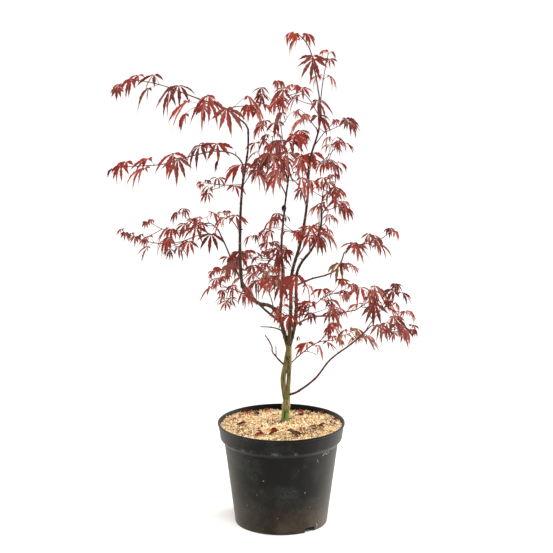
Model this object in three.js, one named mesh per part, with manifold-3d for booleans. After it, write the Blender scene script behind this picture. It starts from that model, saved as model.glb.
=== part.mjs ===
// A young japanese maple in a black nursery pot, in millimetres with +Z up.
// The origin is the middle of the pot's flat underside and the pot's front faces -Y.

import * as THREE from 'three';
import { mergeVertices } from 'three/addons/utils/BufferGeometryUtils.js';
import Module from 'manifold-3d';

const wasm = await Module();
wasm.setup();

// ---------------------------------------------------------------- pot and mulch sizes

const POT_HEIGHT = 228;
const RIM_RADIUS = 140;
const BASE_RADIUS = 102;
const WALL = 2.4;
const LIP = 1.6; // how far the rim's lip stands out
const LIP_HEIGHT = 5;
const BAND_FOOT = 193; // height of the rim band's lower edge
const BAND_FOOT_RADIUS = 134;
const BODY_TOP = 184; // height where the slanted step meets the body
const BODY_TOP_RADIUS = 125.5;
const FLOOR_RADIUS = 78; // flat middle of the underside
const CHANNEL_HEIGHT = 12; // raised ring between the flat middle and the foot ring
const FOOT_RING = 4; // breadth of the foot ring
const POT_SIDES = 30;

const DRAIN_COUNT = 2;
const DRAIN_WIDTH = 26;
const DRAIN_HEIGHT = 11;
const DRAIN_HEADING = 308; // degrees from +X, for the first one

const CLEARANCE = 0.3; // gap between pieces that touch
const MULCH_EDGE = 217; // height of the mulch at the pot's wall
const MULCH_MOUND = 5; // how much higher it is round the trunk
const MULCH_TILT = 4; // how much the front stands above the middle
const MULCH_BUMP = 1.6;
const MULCH_RINGS = 4;
const LANDING = 0.25; // share of the mulch's breadth that lies flat under the trunk

// ---------------------------------------------------------------- trunk and limb sizes

const TRUNK_FOOT = new THREE.Vector3(8, 15, 224);
const TRUNK_RUN = [[40, 345, 85], [55, 0, 85], [70, 0, 90]];
// Girth of the trunk: share of its length and diameter there
const TRUNK_GIRTHS = [
  [0, 20], [0.06, 16.5], [0.16, 16], [0.23, 18], [0.31, 13.5],
  [0.5, 9.5], [0.65, 9], [0.8, 12.5], [1, 12.5],
];
// The second strand of the trunk leaves and rejoins it, with a slit between the two
const STRAND_START = 0.24;
const STRAND_RUN = [[30, 200, 80], [30, 185, 85], [30, 10, 80], [30, 20, 80]];
const STRAND_GIRTH = 9.2;
// The fused saddle of the fork: how far it reaches below and above the trunk's end, and its girths
const SADDLE_REACH = [12, 14];
const SADDLE_GIRTHS = [12.5, 14];
const COLLAR_SPARE = 0.8; // how far a shoot's cut end stands clear of the limb that carries it
const SMALL_OVERHANG = 0.6; // a tip that stands out less than this at a bend needs no collar
const MID_GIRTH = 5; // limbs thicker than this have six sides
const CORNER_SHARE = 0.25; // share of a stretch that the chord across a sharp corner takes

// Every limb: the limb it leaves, the place along that one (0 foot, 1 tip), its diameters at foot and
// tip, and its stretches as [length, heading, climb]. Headings are degrees from +X towards +Y and climbs
// are degrees above level. A fork is how far limbs that leave one place stay fused to what carries them.
const LIMBS = {
  main_leader: {
    from: 'trunk', at: 1, thick: [9, 3.2], fork: 40,
    run: [
      [100, 285, 80], [75, 285, 85], [80, 10, 75], [100, 35, 80],
      [65, 65, 85], [80, 355, 75], [30, 330, 80], [40, 185, 85],
    ],
  },
  left_bough: {
    from: 'trunk', at: 1, thick: [9.5, 7], fork: 40,
    run: [[45, 185, 75], [35, 200, 75], [35, 220, 50], [35, 210, 15], [30, 210, 40], [30, 215, 55]],
  },
  right_stem: {
    from: 'trunk', at: 1, thick: [8.5, 4], fork: 42,
    run: [[70, 345, 76], [95, 270, 75], [40, 285, 70], [65, 325, 50], [55, 320, 70], [40, 270, 80]],
  },
  left_leader: {
    from: 'left_bough', at: 1, thick: [7, 4],
    run: [[50, 220, 85], [90, 270, 85], [80, 310, 85], [100, 320, 80], [30, 300, 90]],
  },
  left_back_bough: {
    from: 'left_bough', at: 0.3, thick: [5.5, 3.2],
    run: [[70, 145, 30], [70, 145, 45], [85, 145, 60], [35, 170, 65]],
  },
  inner_leader: {
    from: 'left_bough', at: 0.36, thick: [7, 3.6],
    run: [[105, 70, 80], [45, 100, 70], [85, 65, 80], [90, 45, 80]],
  },
  low_right_bough: {
    from: 'trunk', at: 0.37, thick: [5.2, 3.2],
    run: [[25, 345, 20], [60, 325, 40], [65, 320, 50], [80, 330, 40], [40, 335, 45]],
  },
  mid_right_bough: {
    from: 'right_stem', at: 0.16, thick: [4.2, 2.6],
    run: [[55, 45, 10], [60, 30, -5], [25, 30, 10], [25, 20, 5]],
  },
  upper_right_bough: {
    from: 'right_stem', at: 0.43, thick: [4.4, 3],
    run: [[45, 40, 10], [55, 35, 5], [25, 35, 35], [30, 40, 65]],
  },
  left_upper_bough: {
    from: 'left_leader', at: 0.74, thick: [3.4, 2.4],
    run: [[35, 245, 55], [30, 220, 35], [40, 215, 10], [60, 210, -5]],
  },
  top_left_bough: {
    from: 'left_leader', at: 1, thick: [4, 2.6],
    run: [[15, 155, 60], [55, 155, 30], [65, 155, 15], [25, 155, 15]],
  },
  front_bough: {
    from: 'main_leader', at: 0.18, thick: [3.4, 2.6],
    run: [[85, 270, 45], [40, 260, 35]],
  },
  back_bough: {
    from: 'inner_leader', at: 0.21, thick: [3.6, 2.6],
    run: [[85, 100, 15], [45, 90, 10]],
  },
  back_right_bough: {
    from: 'main_leader', at: 0.37, thick: [3.6, 2.6],
    run: [[100, 75, 10], [45, 75, 5]],
  },
  upper_front_bough: {
    from: 'main_leader', at: 0.58, thick: [3.2, 2.4],
    run: [[90, 260, 35], [45, 260, 25]],
  },
  upper_back_bough: {
    from: 'inner_leader', at: 0.83, thick: [3.2, 2.4],
    run: [[80, 105, 20], [35, 95, 10]],
  },
  bare_twig_low: {
    from: 'trunk', at: 0.73, thick: [3.4, 2], fork: 22,
    run: [[54, 192, 47], [16, 198, 88], [30, 200, 58]],
  },
  bare_twig_high: {
    from: 'left_bough', at: 0.2, thick: [2.6, 1.6],
    run: [[20, 165, 25], [35, 165, 0]],
  },
};

// Short stubs of pruned and broken shoots: limb, place along it, length, diameter, heading and climb
const STUBS = [
  ['left_bough', 0.26, 7, 5, 285, 20],
  ['main_leader', 0.86, 14, 2.6, 150, 75],
  ['right_stem', 0.62, 8, 2.6, 200, 35],
  ['left_leader', 0.36, 7, 2.8, 330, 30],
  ['bare_twig_low', 0.42, 24, 2.2, 100, 84],
];

// ---------------------------------------------------------------- foliage sizes

// Every foliage mass: the limb it leaves, the place along it, the length of its leaves' middle lobe, the
// distances to its first leaf joint and between joints, how often a joint carries a side twig in place of
// a leaf, and the stretches of its stem as for the limbs
const MASSES = {
  top: {
    from: 'main_leader', at: 1, leaf: 60, joints: [72, 62], twigs: 0,
    run: [[75, 185, 80], [35, 205, 75], [35, 215, 50], [15, 200, 10]],
  },
  top_right: {
    from: 'main_leader', at: 0.97, leaf: 44, joints: [42, 38], twigs: 0,
    run: [[40, 65, 75], [75, 65, 65]],
  },
  crown_left: {
    from: 'inner_leader', at: 1, leaf: 56, joints: [50, 46], twigs: 0.4,
    run: [[60, 130, 70], [95, 135, 80], [35, 130, 80]],
  },
  crown_mid: {
    from: 'main_leader', at: 0.92, leaf: 56, joints: [42, 40], twigs: 0.5,
    run: [[85, 235, 45], [35, 220, 35]],
  },
  crown_front: {
    from: 'main_leader', at: 0.87, leaf: 58, joints: [40, 36], twigs: 0.4,
    run: [[90, 245, 35]],
  },
  right_high: {
    from: 'main_leader', at: 0.81, leaf: 50, joints: [42, 36], twigs: 0.4,
    run: [[65, 310, 45], [30, 320, 40]],
  },
  upper_centre: {
    from: 'inner_leader', at: 0.93, leaf: 60, joints: [35, 40], twigs: 0.4,
    run: [[95, 240, 50], [45, 260, 60]],
  },
  upper_back: {
    from: 'upper_back_bough', at: 1, leaf: 58, joints: [20, 36], twigs: 0.32,
    run: [[55, 125, 15]],
  },
  upper_front: {
    from: 'upper_front_bough', at: 1, leaf: 60, joints: [24, 36], twigs: 0.5,
    run: [[65, 255, 25]],
  },
  right_mid_high: {
    from: 'main_leader', at: 0.73, leaf: 56, joints: [30, 40], twigs: 0.4,
    run: [[75, 60, 0], [30, 55, -25]],
  },
  right_tip: {
    from: 'right_stem', at: 1, leaf: 46, joints: [24, 36], twigs: 0.24,
    run: [[65, 290, 70], [25, 320, 30]],
  },
  right_side: {
    from: 'right_stem', at: 0.95, leaf: 54, joints: [24, 38], twigs: 0.4,
    run: [[70, 65, 20], [35, 75, 10]],
  },
  leader_right: {
    from: 'left_leader', at: 0.64, leaf: 60, joints: [24, 38], twigs: 0.4,
    run: [[70, 55, 35], [25, 60, 15]],
  },
  left_tip: {
    from: 'top_left_bough', at: 1, leaf: 58, joints: [22, 48], twigs: 0,
    run: [[55, 155, 15], [60, 160, 10], [30, 165, -10], [20, 170, -35]],
  },
  left_near: {
    from: 'top_left_bough', at: 0.42, leaf: 82, joints: [30, 48], twigs: 0.24,
    run: [[60, 305, 15], [30, 320, 0]],
  },
  left_near_low: {
    from: 'top_left_bough', at: 0.67, leaf: 80, joints: [30, 40], twigs: 0,
    run: [[70, 245, 0]],
  },
  left_upper: {
    from: 'left_upper_bough', at: 1, leaf: 62, joints: [20, 56], twigs: 0,
    run: [[55, 190, -15], [55, 180, -5], [45, 170, -5]],
  },
  left_upper_near: {
    from: 'left_upper_bough', at: 0.55, leaf: 66, joints: [28, 40], twigs: 0,
    run: [[65, 130, 5]],
  },
  left_small: {
    from: 'left_leader', at: 0.65, leaf: 46, joints: [44, 44], twigs: 0.16,
    run: [[70, 125, -10], [70, 130, -5]],
  },
  left_shoulder: {
    from: 'left_leader', at: 0.35, leaf: 52, joints: [28, 34], twigs: 0,
    run: [[40, 130, 35], [25, 130, 20]],
  },
  tier_upper: {
    from: 'left_back_bough', at: 1, leaf: 48, joints: [24, 48], twigs: 0.24,
    run: [[30, 150, 30], [60, 155, -25], [50, 160, -5], [40, 165, 25]],
  },
  tier_lower: {
    from: 'left_back_bough', at: 0.88, leaf: 46, joints: [44, 52], twigs: 0.2,
    run: [[50, 220, 35], [90, 225, -5], [70, 220, 5], [80, 215, 25]],
  },
  mid_left: {
    from: 'left_bough', at: 0.5, leaf: 54, joints: [50, 40], twigs: 0.4,
    run: [[50, 125, 60], [45, 145, 35], [45, 160, 15], [45, 160, -15]],
  },
  mid_inner: {
    from: 'inner_leader', at: 0.18, leaf: 58, joints: [34, 38], twigs: 0.4,
    run: [[70, 225, 45], [25, 170, 30]],
  },
  low_left: {
    from: 'left_bough', at: 0.86, leaf: 52, joints: [40, 40], twigs: 0.32,
    run: [[75, 230, 25], [25, 235, 15]],
  },
  front_low: {
    from: 'front_bough', at: 1, leaf: 60, joints: [24, 36], twigs: 0.4,
    run: [[65, 255, 5]],
  },
  back_low: {
    from: 'back_bough', at: 1, leaf: 60, joints: [20, 36], twigs: 0.32,
    run: [[65, 120, 0]],
  },
  back_right: {
    from: 'back_right_bough', at: 1, leaf: 54, joints: [20, 36], twigs: 0.32,
    run: [[60, 70, 10]],
  },
  centre_mid: {
    from: 'main_leader', at: 0.48, leaf: 58, joints: [24, 36], twigs: 0.4,
    run: [[70, 250, 10]],
  },
  upper_right_tip: {
    from: 'upper_right_bough', at: 1, leaf: 46, joints: [20, 46], twigs: 0.08,
    run: [[25, 20, 35], [55, 15, 5], [50, 15, 35]],
  },
  upper_right_hang: {
    from: 'upper_right_bough', at: 0.82, leaf: 50, joints: [22, 34], twigs: 0.24,
    run: [[50, 290, 5]],
  },
  mid_right_high: {
    from: 'right_stem', at: 0.25, leaf: 52, joints: [60, 40], twigs: 0.32,
    run: [[70, 310, 25], [50, 305, 35], [45, 325, 15]],
  },
  mid_right: {
    from: 'mid_right_bough', at: 1, leaf: 62, joints: [14, 32], twigs: 0.4,
    run: [[40, 10, 30]],
  },
  far_right: {
    from: 'low_right_bough', at: 1, leaf: 48, joints: [24, 44], twigs: 0.16,
    run: [[20, 340, 40], [40, 350, -25], [45, 0, 10]],
  },
  far_right_high: {
    from: 'low_right_bough', at: 0.97, leaf: 54, joints: [30, 40], twigs: 0.32,
    run: [[70, 50, 35], [30, 40, 5]],
  },
  low_right: {
    from: 'low_right_bough', at: 0.81, leaf: 52, joints: [22, 34], twigs: 0.32,
    run: [[55, 55, 10]],
  },
  right_centre: {
    from: 'right_stem', at: 0.2, leaf: 56, joints: [26, 34], twigs: 0.32,
    run: [[80, 295, 30]],
  },
  low_right_inner: {
    from: 'trunk', at: 0.79, leaf: 52, joints: [70, 44], twigs: 0.24,
    run: [[55, 50, 20], [50, 50, 15], [45, 35, -5]],
  },
};

const STEM_GIRTH = [3.4, 2.8]; // diameters of a mass's stem at foot and tip
const TWIG_GIRTH = [2.8, 2.5];
const TWIG_SIDES = 3;
const TWIG_LENGTH = 0.9; // side twigs and leaf stalks, as shares of the leaf
const STALK_LENGTH = 0.42;
const STALK_GIRTH = 1.2; // at its root, which lies in the middle of its twig
const STALK_BREADTH = 2.2; // where it meets the leaf's middle
const STALK_RISE = 0.7; // steepest rise and fall of a stalk or side twig
const STALK_SINK = -0.35;
const TIP_ROOT = 2.5; // how far behind a twig's end its last leaves are rooted
const LOBES = [0.7, 0.92, 1, 0.92, 0.7]; // lobe lengths as shares of the middle one
const LOBE_FAN = 37; // degrees between neighbouring lobes
const LOBE_FALLS = [24, 47, 62, 47, 24]; // degrees that each lobe hangs below level
const YOUNG_SIZE = 0.6; // size of the leaves at the end of a stem, where those at its foot are 1.1
const NOTCH = 0.36; // how far from the leaf's middle two lobes part
const LEAF_THICKNESS = 3; // at its middle, tapering to nothing at the outline
const LOBE_ROOM = 3.5; // radius that a lobe, a leaf's middle and a twig keep to themselves
const MIDDLE_ROOM = 9;
const TWIG_ROOM = 1.5;
const OWN_ROOM = 0.6; // share of that room kept between pieces of one mass
const TRIES = 8;
const ROOM = 130; // how far from its stem a mass's space reaches

// ---------------------------------------------------------------- materials

const BARK = [0x5a4d42, 0.85, 0];
const TRUNK_BARK = [0x7d7a55, 0.85, 0];
const PLASTIC = [0x1c1c1d, 0.45, 0];
const CHIPS = [0xd9bd8b, 0.95, 0];
const LEAF_TINTS = [0x7d3b3a, 0x8c3430, 0x6f3334, 0x9a3c2c];

// ---------------------------------------------------------------- solids

// A copy of a geometry whose faces share their corners
function weld(geometry) {
  const bare = geometry.clone();
  bare.deleteAttribute('normal');
  bare.deleteAttribute('uv');
  return mergeVertices(bare, 1e-5);
}

// A closed geometry as a solid that can be joined and cut
function solidOf(geometry) {
  const welded = weld(geometry);
  const mesh = new wasm.Mesh({
    numProp: 3,
    vertProperties: new Float32Array(welded.attributes.position.array),
    triVerts: new Uint32Array(welded.index.array),
  });
  return new wasm.Manifold(mesh);
}

function join(solids) {
  return solids.reduce((whole, piece) => whole.add(piece));
}

// Joining can seal a hollow or leave a scrap loose: the largest piece is the part itself
function largestPiece(solid) {
  const pieces = solid.decompose();
  return pieces.reduce((best, piece) => (piece.volume() > best.volume() ? piece : best));
}

function meshOf(name, solid, [color, roughness, metalness]) {
  const { vertProperties, triVerts } = solid.getMesh();
  const geometry = new THREE.BufferGeometry();
  geometry.setAttribute('position', new THREE.BufferAttribute(vertProperties, 3));
  geometry.setIndex(new THREE.BufferAttribute(triVerts, 1));
  geometry.computeVertexNormals();
  const mesh = new THREE.Mesh(geometry, new THREE.MeshStandardMaterial({ color, roughness, metalness }));
  mesh.name = name;
  return mesh;
}

// Moves every vertex of a geometry with a rule from old place to new place
function reshape(geometry, rule) {
  const welded = weld(geometry);
  const places = welded.attributes.position;
  const place = new THREE.Vector3();
  for (let i = 0; i < places.count; i += 1) {
    place.fromBufferAttribute(places, i);
    const moved = rule(place);
    places.setXYZ(i, moved.x, moved.y, moved.z);
  }
  return welded;
}

// ---------------------------------------------------------------- routes

// Two stretches whose directions have a smaller product than this meet in a sharp corner
const SHARP = Math.cos(THREE.MathUtils.degToRad(16));

// The unit vector for a heading and a climb in degrees
function ray(heading, climb) {
  const turn = THREE.MathUtils.degToRad(heading);
  const rise = THREE.MathUtils.degToRad(climb);
  return new THREE.Vector3(
    Math.cos(rise) * Math.cos(turn),
    Math.cos(rise) * Math.sin(turn),
    Math.sin(rise),
  );
}

function between(a, b, share) {
  return a.clone().lerp(b, share);
}

// The route of a run of stretches, with a short chord across each sharp corner
function layRoute(start, run) {
  const ways = run.map(([, heading, climb]) => ray(heading, climb));
  const route = [start.clone()];
  let corner = start.clone();
  run.forEach(([length], i) => {
    const next = corner.clone().addScaledVector(ways[i], length);
    const last = i === run.length - 1;
    if (i > 0 && ways[i].dot(ways[i - 1]) < SHARP) route.push(between(corner, next, CORNER_SHARE));
    if (!last && ways[i].dot(ways[i + 1]) < SHARP) route.push(between(next, corner, CORNER_SHARE));
    else route.push(next.clone());
    corner = next;
  });
  return route;
}

function lengthOf(route) {
  let total = 0;
  for (let i = 1; i < route.length; i += 1) {
    total += route[i].distanceTo(route[i - 1]);
  }
  return total;
}

// The place and the direction at a distance along a route
function along(route, distance) {
  let left = distance;
  for (let i = 1; i < route.length; i += 1) {
    const span = route[i].distanceTo(route[i - 1]);
    if (left <= span || i === route.length - 1) {
      const share = Math.min(left / span, 1);
      return {
        place: between(route[i - 1], route[i], share),
        direction: route[i].clone().sub(route[i - 1]).normalize(),
      };
    }
    left -= span;
  }
  return { place: route[0].clone(), direction: new THREE.Vector3(0, 0, 1) };
}

// The part of a route between two distances
function cutRoute(route, from, to) {
  const part = [along(route, from).place];
  let distance = 0;
  for (let i = 1; i < route.length; i += 1) {
    distance += route[i].distanceTo(route[i - 1]);
    if (distance > from + 0.5 && distance < to - 0.5) part.push(route[i].clone());
  }
  part.push(along(route, to).place);
  return part;
}

// ---------------------------------------------------------------- tubes

// A closed tube along a route, with a diameter at each of its points
function tube(route, diameters, sides) {
  const steps = route.length - 1;
  const tangents = route.map((_, i) => {
    const before = route[Math.max(i - 1, 0)];
    const after = route[Math.min(i + 1, steps)];
    return after.clone().sub(before).normalize();
  });
  const sideways = [];
  let side = new THREE.Vector3(0.3, 1, 0.2).cross(tangents[0]).normalize();
  for (const tangent of tangents) {
    side = side.clone().addScaledVector(tangent, -side.dot(tangent)).normalize();
    sideways.push(side);
  }
  const cylinder = new THREE.CylinderGeometry(1, 1, steps, sides, steps);
  return solidOf(reshape(cylinder, (place) => {
    const ring = Math.round(place.y + steps / 2);
    const radius = diameters[ring] / 2;
    const across = sideways[ring].clone().cross(tangents[ring]);
    return route[ring].clone()
      .addScaledVector(sideways[ring], place.x * radius)
      .addScaledVector(across, place.z * radius);
  }));
}

// Diameters along a part of a tapering limb that runs between two distances of its whole length
function taper(route, [foot, tip], from, whole) {
  let distance = from;
  return route.map((place, i) => {
    if (i > 0) distance += place.distanceTo(route[i - 1]);
    return foot + (tip - foot) * Math.min(distance / whole, 1);
  });
}

function girthAt(table, share) {
  for (let i = 1; i < table.length; i += 1) {
    const [start, first] = table[i - 1];
    const [end, last] = table[i];
    if (share <= end) return first + (last - first) * (share - start) / (end - start);
  }
  return table.at(-1)[1];
}

// ---------------------------------------------------------------- pot

// The inner radius of the rim band at a height
function bandInside(height) {
  const share = (height - BAND_FOOT - 2) / (POT_HEIGHT - BAND_FOOT - 2);
  return BAND_FOOT_RADIUS - WALL + (RIM_RADIUS - LIP - BAND_FOOT_RADIUS) * share;
}

function potProfile() {
  const channelStart = FLOOR_RADIUS + 4;
  const channelEnd = BASE_RADIUS - FOOT_RING - 1;
  return [
    [0, 0],
    [FLOOR_RADIUS, 0],
    [channelStart, CHANNEL_HEIGHT],
    [channelEnd, CHANNEL_HEIGHT],
    [BASE_RADIUS - FOOT_RING, 0],
    [BASE_RADIUS - 1, 0],
    [BASE_RADIUS, 3],
    [BODY_TOP_RADIUS, BODY_TOP],
    [BAND_FOOT_RADIUS, BAND_FOOT],
    [RIM_RADIUS - LIP, POT_HEIGHT - LIP_HEIGHT],
    [RIM_RADIUS, POT_HEIGHT - LIP_HEIGHT + 1],
    [RIM_RADIUS, POT_HEIGHT - 1],
    [RIM_RADIUS - 1, POT_HEIGHT],
    [bandInside(POT_HEIGHT), POT_HEIGHT],
    [BAND_FOOT_RADIUS - WALL, BAND_FOOT + 2],
    [BODY_TOP_RADIUS - WALL, BODY_TOP + 2],
    [BASE_RADIUS - WALL + 1, CHANNEL_HEIGHT + WALL],
    [channelStart - 1, CHANNEL_HEIGHT + WALL],
    [FLOOR_RADIUS - 1, WALL],
    [0, WALL],
  ];
}

function latheOf(profile, sides) {
  const points = profile.map(([radius, height]) => new THREE.Vector2(radius, height));
  return new THREE.LatheGeometry(points, sides).rotateX(Math.PI / 2);
}

// One drain notch, cut through the foot ring and the raised ring beside it
function drainNotch(heading) {
  const depth = 20;
  const box = new THREE.BoxGeometry(depth, DRAIN_WIDTH, 2 * DRAIN_HEIGHT);
  box.translate(BASE_RADIUS, 0, 0);
  box.rotateZ(THREE.MathUtils.degToRad(heading));
  return solidOf(box);
}

function makePot() {
  let pot = solidOf(latheOf(potProfile(), POT_SIDES));
  for (let i = 0; i < DRAIN_COUNT; i += 1) {
    pot = pot.subtract(drainNotch(DRAIN_HEADING + (360 / DRAIN_COUNT) * i));
  }
  return pot;
}

// ---------------------------------------------------------------- mulch

function mulchHeight(x, y, share) {
  const bumps = Math.sin(x / 17 + 1) * Math.cos(y / 14) + 0.6 * Math.sin(x / 7 - y / 9);
  const mound = MULCH_MOUND * (1 - share * share);
  return MULCH_EDGE + mound - MULCH_TILT * (y / RIM_RADIUS) + MULCH_BUMP * bumps;
}

// The filling follows the pot's inside and ends in an uneven top with a flat landing for the trunk
function makeMulch() {
  const floor = WALL + CLEARANCE;
  const profile = [
    [0, floor],
    [FLOOR_RADIUS - 2, floor],
    [FLOOR_RADIUS + 2.5, CHANNEL_HEIGHT + floor],
    [BASE_RADIUS - 2, CHANNEL_HEIGHT + floor],
    [BODY_TOP_RADIUS - WALL - 0.5, BODY_TOP + 2.5],
    [BAND_FOOT_RADIUS - WALL - 0.6, BAND_FOOT + 3],
  ];
  const lowest = MULCH_EDGE - MULCH_TILT - 2 * MULCH_BUMP;
  const edgeRadius = bandInside(lowest) - CLEARANCE;
  for (let ring = MULCH_RINGS; ring >= 0; ring -= 1) {
    profile.push([edgeRadius * ring / MULCH_RINGS, MULCH_EDGE]);
  }
  return solidOf(reshape(latheOf(profile, POT_SIDES), (place) => {
    if (place.z < MULCH_EDGE - 0.01) return place;
    const share = Math.hypot(place.x, place.y) / edgeRadius;
    const x = place.x + TRUNK_FOOT.x * (1 - share);
    const y = place.y + TRUNK_FOOT.y * (1 - share);
    const flat = share < LANDING + 0.01;
    const height = flat ? TRUNK_FOOT.z - CLEARANCE : mulchHeight(x, y, share);
    return new THREE.Vector3(x, y, height);
  }));
}

// ---------------------------------------------------------------- skeleton

// Routes and girths of the trunk, the limbs and the stems of the masses, worked out once
const skeleton = {};

function radiusAt(part, share) {
  if (part === skeleton.trunk) return girthAt(TRUNK_GIRTHS, share) / 2;
  return (part.thick[0] + (part.thick[1] - part.thick[0]) * share) / 2;
}

// How far a shoot stays fused to its carrier as a collar, and where its own piece starts. The collar ends
// where the cut is clear of the carrier's surface, and a shoot that goes on from a tip with hardly a bend
// has none.
function footOf(carrier, share, shoot) {
  const { direction } = along(carrier.route, carrier.length * share);
  const { direction: leaving } = along(shoot.route, 0);
  const slant = Math.abs(direction.dot(leaving));
  const tilt = Math.sqrt(1 - slant * slant);
  const radius = radiusAt(carrier, share);
  if (shoot.fork) return { collar: shoot.fork, start: shoot.fork + CLEARANCE };
  if (share < 1) {
    const collar = (radius + COLLAR_SPARE + slant * shoot.thick[0] / 2) / tilt;
    return { collar, start: collar + CLEARANCE };
  }
  const overhang = radius * tilt;
  const collar = overhang > SMALL_OVERHANG ? overhang + CLEARANCE : 0;
  return { collar, start: Math.max(collar, overhang) + CLEARANCE };
}

function addToSkeleton(name, { from, at, thick = STEM_GIRTH, fork, run }) {
  const carrier = skeleton[from];
  const start = along(carrier.route, carrier.length * at).place;
  const route = layRoute(start, run);
  const part = { from, at, thick, fork, route, length: lengthOf(route), shoots: [] };
  Object.assign(part, footOf(carrier, at, part));
  carrier.shoots.push(part);
  skeleton[name] = part;
}

function makeSkeleton() {
  const route = layRoute(TRUNK_FOOT, TRUNK_RUN);
  skeleton.trunk = { route, length: lengthOf(route), shoots: [] };
  for (const [name, sizes] of Object.entries(LIMBS)) {
    addToSkeleton(name, sizes);
  }
  for (const [name, sizes] of Object.entries(MASSES)) {
    addToSkeleton(`leaves_${name}`, sizes);
  }
}

// ---------------------------------------------------------------- trunk and limbs

function limbSides(thickness) {
  if (thickness > MID_GIRTH) return 6;
  return thickness > STEM_GIRTH[0] ? 4 : TWIG_SIDES;
}

function collarOf(shoot) {
  const route = cutRoute(shoot.route, 0, shoot.collar);
  return tube(route, taper(route, shoot.thick, 0, shoot.length), limbSides(shoot.thick[0]));
}

function stubsOf(name) {
  const part = skeleton[name];
  return STUBS.filter(([limb]) => limb === name).map(([, share, length, thickness, heading, climb]) => {
    const { place } = along(part.route, part.length * share);
    return tube([place, place.clone().addScaledVector(ray(heading, climb), length)],
      [thickness, thickness * 0.8], 6);
  });
}

function withShoots(name, body) {
  const collars = skeleton[name].shoots.filter((shoot) => shoot.collar > 0).map(collarOf);
  return largestPiece(join([body, ...collars, ...stubsOf(name)]));
}

function makeTrunk() {
  const { route, length } = skeleton.trunk;
  const rings = TRUNK_GIRTHS.map(([share]) => along(route, length * share).place);
  const body = tube(rings, TRUNK_GIRTHS.map(([, girth]) => girth), 10);
  const strandRoute = layRoute(along(route, length * STRAND_START).place, STRAND_RUN);
  const strand = tube(strandRoute, strandRoute.map(() => STRAND_GIRTH), 8);
  const saddleEnds = [
    along(route, length - SADDLE_REACH[0]).place,
    along(route, length).place.add(new THREE.Vector3(0, 0, SADDLE_REACH[1])),
  ];
  const saddle = tube(saddleEnds, SADDLE_GIRTHS, 8);
  const below = new THREE.BoxGeometry(60, 60, 20);
  below.translate(TRUNK_FOOT.x, TRUNK_FOOT.y, TRUNK_FOOT.z - 10);
  return withShoots('trunk', join([body, strand, saddle])).subtract(solidOf(below));
}

function makeLimb(name) {
  const { route, length, thick, start } = skeleton[name];
  const own = cutRoute(route, start, length);
  return withShoots(name, tube(own, taper(own, thick, start, length), limbSides(thick[0])));
}

// ---------------------------------------------------------------- room that shoots keep

// Capsules in use: two ends, a radius, whether it is wood or blade, and the mass or limb that owns it
const taken = [];

function capsule(start, end, radius, kind, owner) {
  return { start, end, radius, kind, owner };
}

// The distance between two straight stretches
function distanceBetween(p1, q1, p2, q2) {
  const d1 = q1.clone().sub(p1);
  const d2 = q2.clone().sub(p2);
  const r = p1.clone().sub(p2);
  const a = Math.max(d1.dot(d1), 1e-9);
  const e = Math.max(d2.dot(d2), 1e-9);
  const b = d1.dot(d2);
  const c = d1.dot(r);
  const f = d2.dot(r);
  const denominator = a * e - b * b;
  let s = denominator > 1e-9 ? THREE.MathUtils.clamp((b * f - c * e) / denominator, 0, 1) : 0;
  const t = THREE.MathUtils.clamp((b * s + f) / e, 0, 1);
  s = THREE.MathUtils.clamp((b * t - c) / a, 0, 1);
  return p1.clone().addScaledVector(d1, s).distanceTo(p2.clone().addScaledVector(d2, t));
}

// Wood of one mass may meet, as its twigs and stalks do at their joints; all else keeps its room
function isClear(shape) {
  return shape.every((mine) => taken.every((other) => {
    const kin = other.owner === mine.owner;
    if (kin && mine.kind === 'wood' && other.kind === 'wood') return true;
    const room = (mine.radius + other.radius) * (kin ? OWN_ROOM : 1);
    return distanceBetween(mine.start, mine.end, other.start, other.end) > room;
  }));
}

function takeRoute(route, radii, owner) {
  for (let i = 1; i < route.length; i += 1) {
    taken.push(capsule(route[i - 1], route[i], Math.max(radii[i - 1], radii[i]), 'wood', owner));
  }
}

function takeSkeleton() {
  for (const [name, part] of Object.entries(skeleton)) {
    const radii = part.route.map((_, i) => radiusAt(part, i / (part.route.length - 1)) + 1);
    takeRoute(part.route, radii, name);
  }
}

// ---------------------------------------------------------------- growing

// Seeded dice: the same keys always roll the same numbers from 0 to 1
function dice(...keys) {
  let state = 2166136261;
  for (const key of keys) {
    state = Math.imul(state ^ key, 16777619) >>> 0;
  }
  state = Math.imul(state ^ (state >>> 16), 2246822507) >>> 0;
  state = Math.imul(state ^ (state >>> 13), 3266489909) >>> 0;
  return () => {
    state = (Math.imul(state, 1664525) + 1013904223) >>> 0;
    return state / 4294967296;
  };
}

function spread(roll, size) {
  return (roll() - 0.5) * size;
}

// The direction of a shoot that leaves a twig to one side, turned about the twig, and neither upright
// nor hanging
function shootDirection(direction, turn, lean, lift) {
  const level = new THREE.Vector3(-direction.y, direction.x, 0);
  if (level.lengthSq() < 0.01) level.set(1, 0, 0);
  level.normalize();
  const over = direction.clone().cross(level).negate();
  const angle = THREE.MathUtils.degToRad(turn);
  const out = direction.clone().multiplyScalar(lean)
    .addScaledVector(level, Math.cos(angle))
    .addScaledVector(over, Math.sin(angle))
    .add(new THREE.Vector3(0, 0, lift))
    .normalize();
  const rise = THREE.MathUtils.clamp(out.z, STALK_SINK, STALK_RISE);
  const across = Math.sqrt((1 - rise * rise) / Math.max(1 - out.z * out.z, 1e-6));
  return out.set(out.x * across, out.y * across, rise);
}

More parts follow.
